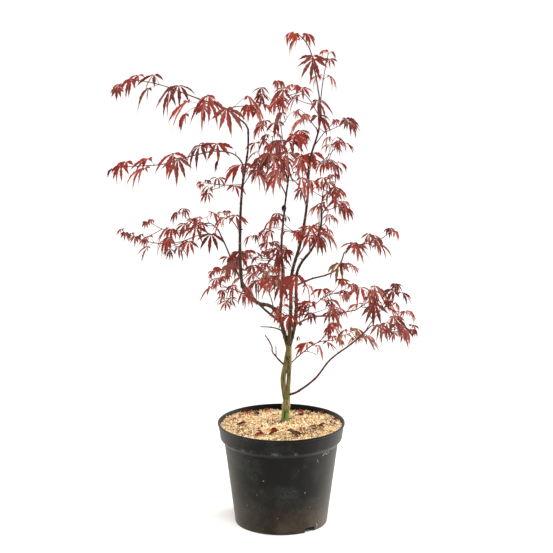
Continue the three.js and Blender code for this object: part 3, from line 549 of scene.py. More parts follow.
# The foliage masses: carrier of the stem and place along it, size of the leaves, first joint and step from
# joint to joint, odds of a side twig, and the stem's run
MASSES = {
    "top": ("main_leader", 1, 60, (72, 62), 0, (75, 185, 80), (35, 205, 75), (35, 215, 50), (15, 200, 10)),
    "top_right": ("main_leader", 0.97, 44, (42, 38), 0, (40, 65, 75), (75, 65, 65)),
    "crown_left": ("inner_leader", 1, 56, (50, 46), 0.4, (60, 130, 70), (95, 135, 80), (35, 130, 80)),
    "crown_mid": ("main_leader", 0.92, 56, (42, 40), 0.5, (85, 235, 45), (35, 220, 35)),
    "crown_front": ("main_leader", 0.87, 58, (40, 36), 0.4, (90, 245, 35)),
    "right_high": ("main_leader", 0.81, 50, (42, 36), 0.4, (65, 310, 45), (30, 320, 40)),
    "upper_centre": ("inner_leader", 0.93, 60, (35, 40), 0.4, (95, 240, 50), (45, 260, 60)),
    "upper_back": ("upper_back_bough", 1, 58, (20, 36), 0.32, (55, 125, 15)),
    "upper_front": ("upper_front_bough", 1, 60, (24, 36), 0.5, (65, 255, 25)),
    "right_mid_high": ("main_leader", 0.73, 56, (30, 40), 0.4, (75, 60, 0), (30, 55, -25)),
    "right_tip": ("right_stem", 1, 46, (24, 36), 0.24, (65, 290, 70), (25, 320, 30)),
    "right_side": ("right_stem", 0.95, 54, (24, 38), 0.4, (70, 65, 20), (35, 75, 10)),
    "leader_right": ("left_leader", 0.64, 60, (24, 38), 0.4, (70, 55, 35), (25, 60, 15)),
    "left_tip": ("top_left_bough", 1, 58, (22, 48), 0, (55, 155, 15), (60, 160, 10), (30, 165, -10),
        (20, 170, -35)),
    "left_near": ("top_left_bough", 0.42, 82, (30, 48), 0.24, (60, 305, 15), (30, 320, 0)),
    "left_near_low": ("top_left_bough", 0.67, 80, (30, 40), 0, (70, 245, 0)),
    "left_upper": ("left_upper_bough", 1, 62, (20, 56), 0, (55, 190, -15), (55, 180, -5), (45, 170, -5)),
    "left_upper_near": ("left_upper_bough", 0.55, 66, (28, 40), 0, (65, 130, 5)),
    "left_small": ("left_leader", 0.65, 46, (44, 44), 0.16, (70, 125, -10), (70, 130, -5)),
    "left_shoulder": ("left_leader", 0.35, 52, (28, 34), 0, (40, 130, 35), (25, 130, 20)),
    "tier_upper": ("left_back_bough", 1, 48, (24, 48), 0.24, (30, 150, 30), (60, 155, -25), (50, 160, -5),
        (40, 165, 25)),
    "tier_lower": ("left_back_bough", 0.88, 46, (44, 52), 0.2, (50, 220, 35), (90, 225, -5), (70, 220, 5),
        (80, 215, 25)),
    "mid_left": ("left_bough", 0.5, 54, (50, 40), 0.4, (50, 125, 60), (45, 145, 35), (45, 160, 15),
        (45, 160, -15)),
    "mid_inner": ("inner_leader", 0.18, 58, (34, 38), 0.4, (70, 225, 45), (25, 170, 30)),
    "low_left": ("left_bough", 0.86, 52, (40, 40), 0.32, (75, 230, 25), (25, 235, 15)),
    "front_low": ("front_bough", 1, 60, (24, 36), 0.4, (65, 255, 5)),
    "back_low": ("back_bough", 1, 60, (20, 36), 0.32, (65, 120, 0)),
    "back_right": ("back_right_bough", 1, 54, (20, 36), 0.32, (60, 70, 10)),
    "centre_mid": ("main_leader", 0.48, 58, (24, 36), 0.4, (70, 250, 10)),
    "upper_right_tip": ("upper_right_bough", 1, 46, (20, 46), 0.08, (25, 20, 35), (55, 15, 5),
        (50, 15, 35)),
    "upper_right_hang": ("upper_right_bough", 0.82, 50, (22, 34), 0.24, (50, 290, 5)),
    "mid_right_high": ("right_stem", 0.25, 52, (60, 40), 0.32, (70, 310, 25), (50, 305, 35), (45, 325, 15)),
    "mid_right": ("mid_right_bough", 1, 62, (14, 32), 0.4, (40, 10, 30)),
    "far_right": ("low_right_bough", 1, 48, (24, 44), 0.16, (20, 340, 40), (40, 350, -25), (45, 0, 10)),
    "far_right_high": ("low_right_bough", 0.97, 54, (30, 40), 0.32, (70, 50, 35), (30, 40, 5)),
    "low_right": ("low_right_bough", 0.81, 52, (22, 34), 0.32, (55, 55, 10)),
    "right_centre": ("right_stem", 0.2, 56, (26, 34), 0.32, (80, 295, 30)),
    "low_right_inner": ("trunk", 0.79, 52, (70, 44), 0.24, (55, 50, 20), (50, 50, 15), (45, 35, -5)),
}
STEM_GIRTH = [3.4, 2.8]
TWIG_LENGTH = 0.9
STALK_LENGTH = 0.42
STALK_RISE = 0.7
STALK_SINK = -0.35
TIP_ROOT = 2.5
LOBES = [0.7, 0.92, 1, 0.92, 0.7]
MIDDLE_LOBE = 2
LOBE_FAN = 37
LOBE_FALLS = [24, 47, 62, 47, 24]
FOOT_SIZE = 1.1  # size of the leaves at the foot of a stem and at its tip, as shares of the mass's own
YOUNG_SIZE = 0.6
TIP_BARE = 0.3  # share of a step that stays bare below the tip
PAIR_LEAN = 0.5  # how far a pair's leaves, the leaf at an end and a side twig lean along their stem
END_LEAN = 1.6
TWIG_LEAN = 0.7
LEAF_LIFT = 0.35  # how far leaves and side twigs turn upwards
TWIG_LIFT = 0.12
END_SIZE = 0.8  # size of a leaf at the end of a stem or twig, and of the pair beside it on a twig
TWIG_PAIR_SIZE = 0.9
TWIG_FOOT = 4  # length at its foot that a side twig needs no room for
LEAF_CROWD = 0.25  # least distance between two leaves' middles, as a share of their size
LIMB_ROOM = 1
LOBE_ROOM = 3.5
MIDDLE_ROOM = 9
TWIG_ROOM = 1.5
OWN_ROOM = 0.6
TRIES = 8
ROOM = 130
SHARP = math.cos(math.radians(16))


# ---------------------------------------------------------------- routes, as in the source

SETTLE = 25  # distance in which a shoot swings from its carrier's smooth course to its own corners
skeleton = {}


def ray(heading, climb):
    turn = math.radians(heading)
    rise = math.radians(climb)
    return np.array([math.cos(rise) * math.cos(turn), math.cos(rise) * math.sin(turn), math.sin(rise)])


def lay_route(start, run):
    """The route of a run of stretches, with a short chord across each sharp corner."""
    ways = [ray(heading, climb) for _, heading, climb in run]
    route = [start.copy()]
    corner = start.copy()
    for i, (length, _, _) in enumerate(run):
        following = corner + ways[i] * length
        if i > 0 and ways[i].dot(ways[i - 1]) < SHARP:
            route.append(corner + (following - corner) * CORNER_SHARE)
        if i < len(run) - 1 and ways[i].dot(ways[i + 1]) < SHARP:
            route.append(following + (corner - following) * CORNER_SHARE)
        else:
            route.append(following.copy())
        corner = following
    return np.array(route)


class Limb:
    """The trunk, a limb or the stem of a mass: its corners, its smooth course and what carries it."""

    def __init__(self, route, thick, carrier=None, at=0.0, fork=0):
        self.route = route
        self.thick = thick
        self.carrier = carrier
        self.at = at
        self.fork = fork
        self.spans = np.linalg.norm(np.diff(route, axis=0), axis=1)
        self.length = self.spans.sum()
        self.shift = np.zeros(3)
        self.shoots = []

    def stretch(self, distance):
        """The number of the stretch at a distance and how far along it that is, as a share."""
        i = 0
        while i < len(self.spans) - 1 and distance > self.spans[i]:
            distance -= self.spans[i]
            i += 1
        return i, min(distance / self.spans[i], 1)

    def along(self, distance):
        """The place and the direction at a distance along the corners."""
        i, share = self.stretch(distance)
        start, end = self.route[i], self.route[i + 1]
        return start + (end - start) * share, unit(end - start)

    def tangents(self):
        """The smooth course's direction at each corner."""
        steps = np.diff(self.route, axis=0)
        ways = steps / self.spans[:, None]
        result = [ways[0]]
        for i in range(1, len(ways)):
            before, after = self.spans[i - 1], self.spans[i]
            result.append((ways[i - 1] * after + ways[i] * before) / (before + after))
        return np.array([*result, ways[-1]])

    def course(self, distance):
        """The place on the smooth course, which starts in the middle of what carries it."""
        ways = self.tangents()
        i, t = self.stretch(min(distance, self.length))
        span = self.spans[i]
        a, b = self.route[i], self.route[i + 1]
        place = ((2 * t ** 3 - 3 * t ** 2 + 1) * a + (t ** 3 - 2 * t ** 2 + t) * span * ways[i]
                 + (3 * t ** 2 - 2 * t ** 3) * b + (t ** 3 - t ** 2) * span * ways[i + 1])
        return place + self.shift * math.exp(-distance / SETTLE)

    def spot(self, share):
        return self.course(self.length * share)

    def points(self, step):
        """Places on the smooth course, at most a step apart, and their distances."""
        distances = np.linspace(0, self.length, max(2, int(math.ceil(self.length / step)) + 1))
        return distances, np.array([self.course(d) for d in distances])


def radius_at(limb, share):
    if limb is skeleton["trunk"]:
        places, girths = zip(*TRUNK_GIRTHS)
        return float(np.interp(share, places, girths)) / 2
    return (limb.thick[0] + (limb.thick[1] - limb.thick[0]) * share) / 2


def foot_of(carrier, share, shoot):
    """Where the shoot's own piece starts, beyond the collar that stays fused to its carrier."""
    _, direction = carrier.along(carrier.length * share)
    _, leaving = shoot.along(0)
    slant = abs(direction.dot(leaving))
    tilt = math.sqrt(max(1 - slant * slant, 0))
    radius = radius_at(carrier, share)
    if shoot.fork:
        return shoot.fork + CLEARANCE
    if share < 1:
        return (radius + COLLAR_SPARE + slant * shoot.thick[0] / 2) / tilt + CLEARANCE
    overhang = radius * tilt
    collar = overhang + CLEARANCE if overhang > SMALL_OVERHANG else 0
    return max(collar, overhang) + CLEARANCE


def add_to_skeleton(name, carrier_name, at, run, thick, fork=0):
    carrier = skeleton[carrier_name]
    start, _ = carrier.along(carrier.length * at)
    limb = Limb(lay_route(start, run), thick, carrier, at, fork)
    limb.start = foot_of(carrier, at, limb)
    limb.shift = carrier.spot(at) - start
    carrier.shoots.append(limb)
    skeleton[name] = limb


def make_skeleton():
    skeleton["trunk"] = Limb(lay_route(TRUNK_FOOT, TRUNK_RUN), [TRUNK_GIRTHS[0][1], TRUNK_GIRTHS[-1][1]])
    for name, (carrier, at, thick, fork, *run) in LIMBS.items():
        add_to_skeleton(name, carrier, at, run, thick, fork)
    for name, (carrier, at, _, _, _, *run) in MASSES.items():
        add_to_skeleton(f"leaves_{name}", carrier, at, run, STEM_GIRTH)


# ---------------------------------------------------------------- room that shoots keep, as in the source

MOST_CAPSULES = 20000


class Taken:
    """Capsules in use: two ends, a radius, whether it is wood, and the number of its owner."""

    def __init__(self):
        self.rows = np.zeros((MOST_CAPSULES, 9))
        self.count = 0
        self.owners = {}

    def add(self, start, end, radius, wood, owner):
        number = self.owners.setdefault(owner, len(self.owners))
        self.rows[self.count] = [*start, *end, radius, wood, number]
        self.count += 1

    def clear(self, shape, slack=1.0):
        """Whether every capsule of a shape keeps its room. Wood of one mass may meet."""
        rows = self.rows[:self.count]
        for start, end, radius, wood, owner in shape:
            kin = rows[:, 8] == self.owners.get(owner, -1)
            free = kin & (rows[:, 7] == 1) if wood else np.zeros(len(rows), bool)
            room = (radius + rows[:, 6]) * np.where(kin, OWN_ROOM, 1) * slack
            apart = distances_between(start, end, rows[:, 0:3], rows[:, 3:6])
            if not np.all(free | (apart > room)):
                return False
        return True


def distances_between(p1, q1, p2, q2):
    """The distances between one straight stretch and many."""
    d1 = q1 - p1
    d2 = q2 - p2
    r = p1 - p2
    a = max(d1.dot(d1), 1e-9)
    e = np.maximum(np.einsum("ij,ij->i", d2, d2), 1e-9)
    b = d2 @ d1
    c = r @ d1
    f = np.einsum("ij,ij->i", d2, r)
    denominator = a * e - b * b
    with np.errstate(divide="ignore", invalid="ignore"):
        s = np.where(denominator > 1e-9, np.clip((b * f - c * e) / denominator, 0, 1), 0)
    t = np.clip((b * s + f) / e, 0, 1)
    s = np.clip((b * t - c) / a, 0, 1)
    gap = p1 + d1 * s[:, None] - (p2 + d2 * t[:, None])
    return np.sqrt(np.einsum("ij,ij->i", gap, gap))


taken = Taken()


def take_skeleton():
    for name, limb in skeleton.items():
        last = len(limb.route) - 1
        radii = [radius_at(limb, i / last) + LIMB_ROOM for i in range(last + 1)]
        for i in range(1, last + 1):
            taken.add(limb.route[i - 1], limb.route[i], max(radii[i - 1], radii[i]), 1, name)


# ---------------------------------------------------------------- growing, as in the source

MASK = 0xFFFFFFFF


def dice(*keys):
    """Seeded dice: the same keys always roll the same numbers from 0 to 1."""
    state = 2166136261
    for key in keys:
        state = ((state ^ key) * 16777619) & MASK
    state = ((state ^ (state >> 16)) * 2246822507) & MASK
    state = ((state ^ (state >> 13)) * 3266489909) & MASK

    def roll():
        nonlocal state
        state = (state * 1664525 + 1013904223) & MASK
        return state / 4294967296

    return roll


def spread(roll, size):
    return (roll() - 0.5) * size


def shoot_direction(direction, turn, lean, lift):
    level = np.array([-direction[1], direction[0], 0.0])
    if level.dot(level) < 0.01:
        level = np.array([1.0, 0.0, 0.0])
    level = unit(level)
    over = -np.cross(direction, level)
    angle = math.radians(turn)
    out = direction * lean + level * math.cos(angle) + over * math.sin(angle)
    out = unit(out + np.array([0, 0, lift]))
    rise = min(max(out[2], STALK_SINK), STALK_RISE)
    across = math.sqrt((1 - rise * rise) / max(1 - out[2] * out[2], 1e-6))
    return np.array([out[0] * across, out[1] * across, rise])


class Leaf:
    """A leaf's joint on its twig, its middle, and the heading and fall of its lobes."""

    def __init__(self, joint, direction, size, roll):
        self.joint = joint
        self.direction = direction
        self.size = size
        self.middle = joint + direction * size * STALK_LENGTH * (0.8 + 0.4 * roll())
        self.heading = math.degrees(math.atan2(direction[1], direction[0])) + spread(roll, 50)
        self.sag = spread(roll, 30)
        self.fan = LOBE_FAN + spread(roll, 8)
        self.tips = [self.middle + self.way(i, roll) * size * share for i, share in enumerate(LOBES)]

    def way(self, i, roll):
        fall = -LOBE_FALLS[i] - self.sag + spread(roll, 16)
        return ray(self.heading + (i - MIDDLE_LOBE) * self.fan, fall)

    def room(self, owner):
        stalk = (self.joint, self.middle, TWIG_ROOM, 1, owner)
        hub = (self.middle, self.middle, MIDDLE_ROOM, 0, owner)
        return [stalk, hub, *((self.middle, tip, LOBE_ROOM, 0, owner) for tip in self.tips)]


class Mass:
    """One foliage mass: what grows on its stem by the source's rule, and finer growth between that."""

    def __init__(self, key, number):
        self.key = key
        self.name = f"leaves_{key}"
        self.number = number
        self.size, self.joints, self.odds = MASSES[key][2:5]
        self.limb = skeleton[self.name]
        self.leaves = []
        self.twigs = []
        self.slack = 1.0

    def in_space(self, shape):
        ends = np.array([piece[1] for piece in shape])
        gaps = np.linalg.norm(ends[:, None] - self.limb.route[None], axis=2)
        return bool(np.all(gaps.min(axis=1) < ROOM))

    def try_leaf(self, base, direction, turn, lean, scale, *keys):
        for attempt in range(TRIES):
            roll = dice(self.number, *keys, attempt)
            out = shoot_direction(direction, turn + spread(roll, 30 + 20 * attempt), lean, LEAF_LIFT)
            leaf = Leaf(base, out, self.size * scale * (0.85 + 0.3 * roll()), roll)
            shape = leaf.room(self.name)
            crowd = self.size * LEAF_CROWD * self.slack
            crowded = any(np.linalg.norm(other.middle - leaf.middle) < crowd for other in self.leaves)
            if not crowded and self.in_space(shape) and taken.clear(shape, self.slack):
                self.leaves.append(leaf)
                for piece in shape:
                    taken.add(*piece)
                return leaf
        return None

    def leaf_pair(self, base, direction, turn, scale, *keys):
        self.try_leaf(base, direction, turn, PAIR_LEAN, scale, *keys, 1)
        self.try_leaf(base, direction, turn + 180, PAIR_LEAN, scale, *keys, 2)

    def try_twig(self, base, direction, turn, scale, *keys):
        roll = dice(self.number, *keys)
        out = shoot_direction(direction, turn + spread(roll, 20), TWIG_LEAN, TWIG_LIFT)
        reach = self.size * TWIG_LENGTH * (0.7 + 0.6 * roll())
        end = base + out * reach
        shape = [(base + out * TWIG_FOOT, end, TWIG_ROOM, 1, self.name)]
        if not self.in_space(shape) or not taken.clear(shape, self.slack):
            return False
        self.twigs.append((base, end))
        taken.add(*shape[0])
        root = end - out * TIP_ROOT
        self.leaf_pair(root, out, roll() * 90, TWIG_PAIR_SIZE * scale, *keys, 3)
        self.try_leaf(root, out, 90, END_LEAN, END_SIZE * scale, *keys, 4)
        return True

    def stations(self, node, offset):
        """The joints along the stem: number, distance, place and direction of each."""
        bare, step = self.joints
        distance = self.limb.start + bare + step * offset
        while distance < self.limb.length - step * TIP_BARE:
            yield (node, distance, *self.limb.along(distance))
            node += 1
            distance += step

    def grow(self):
        """The source's rule: leaves or side twigs at the joints of the stem, and three at its tip."""
        limb = self.limb
        node = -1
        for node, distance, joint, direction in self.stations(0, 0):
            scale = FOOT_SIZE + (YOUNG_SIZE - FOOT_SIZE) * distance / limb.length
            for side in (0, 1):
                turn = node * 90 + side * 180
                wants_twig = dice(self.number, node, side, 9)() < self.odds
                if not wants_twig or not self.try_twig(joint, direction, turn, scale, node, side):
                    self.try_leaf(joint, direction, turn, PAIR_LEAN, scale, node, side, 5)
        joint, direction = limb.along(limb.length - TIP_ROOT)
        self.leaf_pair(joint, direction, 0, YOUNG_SIZE, node + 1, 6)
        self.try_leaf(joint, direction, 90, END_LEAN, END_SIZE * YOUNG_SIZE, node + 1, 7)

    def grow_finer(self, first, offset, turn, odds):
        """The same rule once more between the joints, with finer twigs and less room to each leaf."""
        self.slack = FINER_SLACK
        odds *= self.odds * FULLNESS.get(self.key, 1.0)
        for node, distance, joint, direction in self.stations(first, offset):
            scale = FINER_SIZE * (1 + (YOUNG_SIZE - 1) * distance / self.limb.length)
            for side in (0, 1):
                if dice(self.number, node, side, 8)() < odds:
                    self.try_twig(joint, direction, node * 90 + turn + side * 180, scale, node, side)


# The finer growths: number of the first joint, place between two joints, turn of the pairs in degrees
# and how many times as often as a side twig a finer one is borne
FINER = [(100, 0.5, 45, 1.5), (200, 0.25, 20, 0.5), (400, -0.3, 0, 0.8)]
FINER_SLACK = 0.4
FINER_SIZE = 0.8

# Masses that are more open or fuller than the rest: their share of the finer growth
FULLNESS = {
    "crown_left": 0.3, "crown_mid": 0.3, "crown_front": 0.4, "right_high": 0.3, "right_side": 1.2,
    "tier_lower": 0.2, "mid_left": 0.7, "far_right_high": 0.6, "upper_front": 0.0, "right_tip": 0.7,
    "upper_centre": 0.4, "right_centre": 2.0, "front_low": 1.5, "low_right": 1.5, "low_right_inner": 1.6,
}


def grow_all():
    masses = [Mass(key, number) for number, key in enumerate(MASSES)]
    for mass in masses:
        mass.grow()
    for growth in FINER:
        for mass in masses:
            mass.grow_finer(*growth)
    return masses


# ---------------------------------------------------------------- leaves

YOUNG_SHRINK = 0.4  # how much smaller the last leaves of a stem are
LOBE_BREADTH = 0.075  # half a lobe's breadth, as a share of the leaf's size
LOBE_REACH = (0.06, 0.2)  # how far a lobe reaches outwards and rises before it falls
LOBE_ARCH = (0.08, 0.24)
LOBE_KNEE = 0.38  # share of a lobe at which it turns downwards
LOBE_TURN = 55  # degrees that the outer lobes turn their upper side forwards
LOBE_FOLD = 0.5
LOBE_STEPS = 11
TOOTH = 0.13
BLADE = 0.25  # half the thickness of a lobe
LOBE_LEAST = 0.12  # half its breadth where it is narrowest

# Paint kinds on a lobe's two upper halves: 0 upper side, 1 the under side's tint as painted shade, 2 a
# darker copy as deeper painted shade
LOBE_HALVES = [(0, 2), (2, 0), (0, 0), (0, 1), (1, 0), (1, 2)]
BASAL = [(-2.9, 0.28), (2.9, 0.28)]  # turn in fans and length of the two lobes beside the stalk
BASAL_FALL = 14
BASAL_BREADTH = 0.6
STALK_RADII = (0.62, 0.42)
STALK_POINTS = 7
STALK_SIDES = 5
DROOP = 0.13  # how far the tips sink below the source's straight lobes, as a share of the leaf's size


def lobe_profile(t):
    """Half a lobe's breadth along it: narrow at the hub, broadest past its middle, then a long tip."""
    return 0.12 * (1 - t) ** 2 + np.sin(math.pi * t ** 1.15) ** 1.6


def add_lobe(heap, hub, tip, heading, breadth, roll, bend, turn=0.0):
    """A lobe from the hub to its tip. Its bend is how far it first reaches outwards and upwards."""
    reach = np.linalg.norm(tip - hub)
    level = ray(heading, 0)
    knee = hub + (tip - hub) * LOBE_KNEE + (level * bend[0] + np.array([0, 0, bend[1]])) * reach
    rows = LOBE_STEPS + 1
    t = np.linspace(0, 1, rows)[:, None]
    rib = arc(hub, knee, tip, t)
    way = 2 * (1 - t) * (knee - hub) + 2 * t * (tip - knee)
    way /= np.linalg.norm(way, axis=1)[:, None]
    side = np.broadcast_to([-level[1], level[0], 0.0], rib.shape)
    over = np.cross(way, side)
    twist = math.radians(turn) + spread(roll, 1.0) + spread(roll, 1.2) * t
    side = side * np.cos(twist) + over * np.sin(twist)
    over = np.cross(way, side)
    teeth = 1 + TOOTH * np.where(np.arange(rows) % 2, 1, -1)[:, None]
    half = np.maximum(breadth * lobe_profile(t) * teeth, LOBE_LEAST)
    fold = over * half * LOBE_FOLD
    left, right = rib + side * half + fold, rib - side * half + fold
    under = rib - over * BLADE
    # one or both upper halves may take painted shade, as LOBE_HALVES deals it
    halves = LOBE_HALVES[int(roll() * len(LOBE_HALVES))]
    for points, kind in (([left, rib], halves[0]), ([rib, right], halves[1]), ([right, under, left], 1)):
        heap.add(np.stack(points, axis=1), grid_faces(rows, len(points), closed=False), kind=kind)


def add_leaf(heap, leaf, joint, roll, scale):
    """A leaf of seven lobes that arch out of its hub. Its stalk starts at the joint."""
    hub = leaf.middle + (joint - leaf.joint)
    breadth = leaf.size * LOBE_BREADTH * (0.9 + 0.25 * roll())
    share = roll()
    bend = [low + (high - low) * share for low, high in (LOBE_REACH, LOBE_ARCH)]

    def lay(turn, end, breadth):
        forwards = LOBE_TURN * math.sin(math.radians(turn))
        add_lobe(heap, hub, end, leaf.heading + turn, breadth, roll, bend, forwards)

    for i, tip in enumerate(leaf.tips):
        end = hub + (tip - leaf.middle) * scale * (0.92 + 0.1 * roll())
        end[2] -= leaf.size * DROOP * (0.5 + roll())
        lay((i - MIDDLE_LOBE) * leaf.fan, end, breadth * (0.75 + 0.25 * LOBES[i]))
    for fans, share in BASAL:
        way = ray(leaf.heading + fans * leaf.fan, -BASAL_FALL - leaf.sag)
        end = hub + way * leaf.size * share * (0.8 + 0.4 * roll())
        lay(fans * leaf.fan, end, breadth * BASAL_BREADTH)
    return hub


def add_stalk(heap, joint, hub, direction, roll):
    reach = np.linalg.norm(hub - joint)
    knee = joint + direction * reach * 0.5 + np.array([0, 0, reach * (0.06 + 0.1 * roll())])
    points = arc(joint, knee, hub, np.linspace(0, 1, STALK_POINTS)[:, None])
    add_tube(heap, points, np.linspace(*STALK_RADII, STALK_POINTS), STALK_SIDES)


# How the tints are dealt out to the leaves of a mass
TINTS_USUAL = [("dusky", 0.32), ("mauve", 0.15), ("rose", 0.12), ("crimson", 0.24), ("wine", 0.17)]
TINTS_YOUNG = [("scarlet", 0.5), ("crimson", 0.3), ("dusky", 0.2)]
TINTS_DEEP = [("crimson", 0.5), ("wine", 0.25), ("dusky", 0.25)]
TINTS_BRIGHT = [("scarlet", 0.16), ("crimson", 0.44), ("rose", 0.4)]
TINTS_BRONZE = [("bronze", 0.6), ("rose", 0.4)]
YOUNG_REACH = 0.3  # share of a stem at its tip that may bear young leaves, and how many of them are
YOUNG_ODDS = 0.5
BRONZE_ODDS = 0.35
BRIGHT_ODDS = 0.4
BRONZE_MASSES = {"upper_right_hang", "crown_front", "low_right"}
BRIGHT_MASSES = {
    "low_right_inner", "right_centre", "front_low", "left_near", "left_near_low", "left_shoulder",
}
DEEP_MASSES = {"left_tip", "left_upper", "left_small", "left_upper_near", "tier_upper", "tier_lower"}
YOUNG_MASSES = {
    "top", "top_right", "crown_mid", "right_high", "right_tip", "right_side", "leader_right",
    "right_mid_high",
}


def pick(weights, share):
    for name, weight in weights:
        share -= weight
        if share < 0:
            return name
    return weights[-1][0]


def tint_of(mass, leaf, roll):
    young = np.linalg.norm(leaf.joint - mass.limb.route[-1]) < YOUNG_REACH * mass.limb.length
    if mass.key in YOUNG_MASSES and young and roll() < YOUNG_ODDS:
        return pick(TINTS_YOUNG, roll())
    if mass.key in BRONZE_MASSES and roll() < BRONZE_ODDS:
        return pick(TINTS_BRONZE, roll())
    if mass.key in BRIGHT_MASSES and roll() < BRIGHT_ODDS:
        return pick(TINTS_BRIGHT, roll())
    if mass.key in DEEP_MASSES:
        return pick(TINTS_DEEP, roll())
    return pick(TINTS_USUAL, roll())


TWIG_RADII = (0.95, 0.6)
TWIG_POINTS = 9
TWIG_SIDES = 6
STEM_SIDES = 8
STEM_FINE = 0.74  # girth of a living stem as a share of its solid's
STEM_TIP = 0.8
STEM_BULK = {"top": 1.35, "low_right_inner": 1.2}
NODE_SWELL = 0.28


class Anchors:
    """Moves joints from the corners of a stem to its smooth course."""

    def __init__(self, limb):
        self.distances, self.places = limb.points(2.0)
        self.corners = np.array([limb.along(d)[0] for d in self.distances])

    def shift(self, place):
        nearest = np.argmin(np.linalg.norm(self.corners - place, axis=1))
        return self.places[nearest] - self.corners[nearest]


def swollen(distances, radii, joints, breadth=1.6):
    """Radii with a ring at each joint."""
    result = np.array(radii, float)
    for joint in joints:
        result *= 1 + NODE_SWELL * np.exp(-((distances - joint) / breadth) ** 2)
    return result


def add_stem(heap, mass):
    """The stem of a mass, which is finer than its solid and swells at each joint."""
    limb = mass.limb
    bulk = STEM_BULK.get(mass.key, 1.0)
    foot = min(limb.thick[0] * STEM_FINE * bulk, 2 * radius_at(limb.carrier, limb.at)) / 2
    distances, points = limb.points(3.0)
    bare, step = mass.joints
    radii = foot + (STEM_TIP * bulk - foot) * distances / limb.length
    joints = np.arange(limb.start + bare, limb.length, step)
    add_tube(heap, points, swollen(distances, radii, joints), STEM_SIDES)


def add_twig(heap, base, end, roll):
    """A side twig that sags a little."""
    sag = np.array([0, 0, -1.0]) * np.linalg.norm(end - base) * (0.02 + 0.05 * roll())
    t = np.linspace(0, 1, TWIG_POINTS)[:, None]
    points = base + (end - base) * t + 4 * t * (1 - t) * sag
    add_tube(heap, points, np.linspace(*TWIG_RADII, TWIG_POINTS), TWIG_SIDES)


def dress_mass(mass, leaf_heaps, twig_heap, stalk_heap):
    limb = mass.limb
    anchors = Anchors(limb)
    add_stem(twig_heap, mass)
    shifts = {}
    for number, (base, end) in enumerate(mass.twigs):
        shifts[number] = anchors.shift(base)
        add_twig(twig_heap, base + shifts[number], end + shifts[number], dice(mass.number, number, 77))
    for number, leaf in enumerate(mass.leaves):
        roll = dice(mass.number, number, 55)
        owner = next((i for i, (_, end) in enumerate(mass.twigs)
                      if np.linalg.norm(end - leaf.joint) < TIP_ROOT + 0.01), None)
        joint = leaf.joint + (anchors.shift(leaf.joint) if owner is None else shifts[owner])
        tip_gap = np.linalg.norm(leaf.joint - limb.route[-1]) / limb.length
        scale = 1 - YOUNG_SHRINK * max(0.0, 1 - tip_gap / YOUNG_REACH)
        hub = add_leaf(leaf_heaps[tint_of(mass, leaf, roll)], leaf, joint, roll, scale)
        add_stalk(stalk_heap, joint, hub, leaf.direction, roll)


# Withered leaves that hang by a thread: limb, place along it, length of the thread and of the leaf
DEAD_LEAVES = [
    ("leaves_right_centre", 0.33, 12, 13), ("leaves_right_centre", 0.31, 44, 16),
    ("left_upper_bough", 0.56, 16, 34), ("inner_leader", 0.72, 7, 26), ("inner_leader", 0.79, 6, 22),
]
DEAD_LOBES = 4
DEAD_BREADTH = 2.0
THREAD_RADIUS = 0.35


def add_dead_leaf(leaf_heap, stalk_heap, name, at, drop, size, number):
    """A withered leaf with its lobes curled together, on a thread below a limb."""
    roll = dice(number, 91)
    place = skeleton[name].spot(at)
    hub = place + np.array([spread(roll, 6), -4, -drop])
    thread = place + (hub - place) * np.linspace(0, 1, 5)[:, None]
    add_tube(stalk_heap, thread, [THREAD_RADIUS] * len(thread), STALK_SIDES)
    for _ in range(DEAD_LOBES):
        heading = 360 * roll()
        tip = hub + ray(heading, -60 - 25 * roll()) * size * (0.7 + 0.4 * roll())
        breadth = max(size * LOBE_BREADTH, DEAD_BREADTH)
        add_lobe(leaf_heap, hub, tip, heading, breadth, roll, (0.1 + 0.2 * roll(), 0.05), 90 * roll())


def make_foliage():
    masses = grow_all()
    leaf_heaps = {tint: Heap() for tint in LEAF_TINTS}
    twig_heap = Heap()
    stalk_heap = Heap()
    for mass in masses:
        dress_mass(mass, leaf_heaps, twig_heap, stalk_heap)
    for number, dead in enumerate(DEAD_LEAVES):
        add_dead_leaf(leaf_heaps["withered"], stalk_heap, *dead, number)
    names = [mass.name for mass in masses]
    for tint, heap in leaf_heaps.items():
        if heap.count:
            heap.make(f"foliage_{tint}", leaf_paints(f"leaf_{tint}", tint), names, "leaf_crimson")
    twig_heap.make("foliage_twigs", [young_bark_paint()], names, "limb_bark")
    stalk_heap.make("foliage_stalks", [stalk_paint("stalks", 0x97423A)], names, "leaf_crimson")


# ---------------------------------------------------------------- bark

BARK_SIDES = 18
BARK_STEP = 2.5
FLARE = 0.55  # how much a limb widens into what carries it
FLARE_RUN = 5.0
STRAND_BARK = 1.2  # the strand's girth with its bark, which leaves only a narrow slit
GRAFT_PLACE = 34  # height of the old graft above the soil, how far it reaches and how knobbly it is
GRAFT_REACH = 13
GRAFT_KNOBS = 0.07
BARE = ("bare_twig_low", "bare_twig_high")
BARE_GIRTH = 1.25  # their knots and loose bark make them a little thicker than their solids
RING_START = 98  # the first ring of a stem, clear of the fork
RING_STEP = 52
RING_SWELL = 1.24
RING_SIDES = 14
SPUR_SIDES = 8
SPUR_BOW = 0.12
SPUR_BUDS = (0.55, 0.97)
STUB_SIDES = 10
LIMB_DEPTH = 0.03  # depth of the bark's relief as a share of the girth
TRUNK_DEPTH = 0.035
STRAND_DEPTH = 0.04
SADDLE_DEPTH = 0.05
STEMS = ["main_leader", "left_bough", "right_stem", "left_leader", "inner_leader", "left_back_bough"]

# The bark's ridges: count round the limb, reach of their wander along it, and share of the depth
RIDGES = [(2, 60, 1.0), (3, 34, 0.8), (5, 21, 0.55), (7, 12, 0.4)]

# A bud ring's profile: place along the limb and share of the ring's reach
RING_PROFILE = [(-1.1, 0.8), (-0.6, 0.97), (0, 1.04), (0.6, 0.97), (1.1, 0.8)]

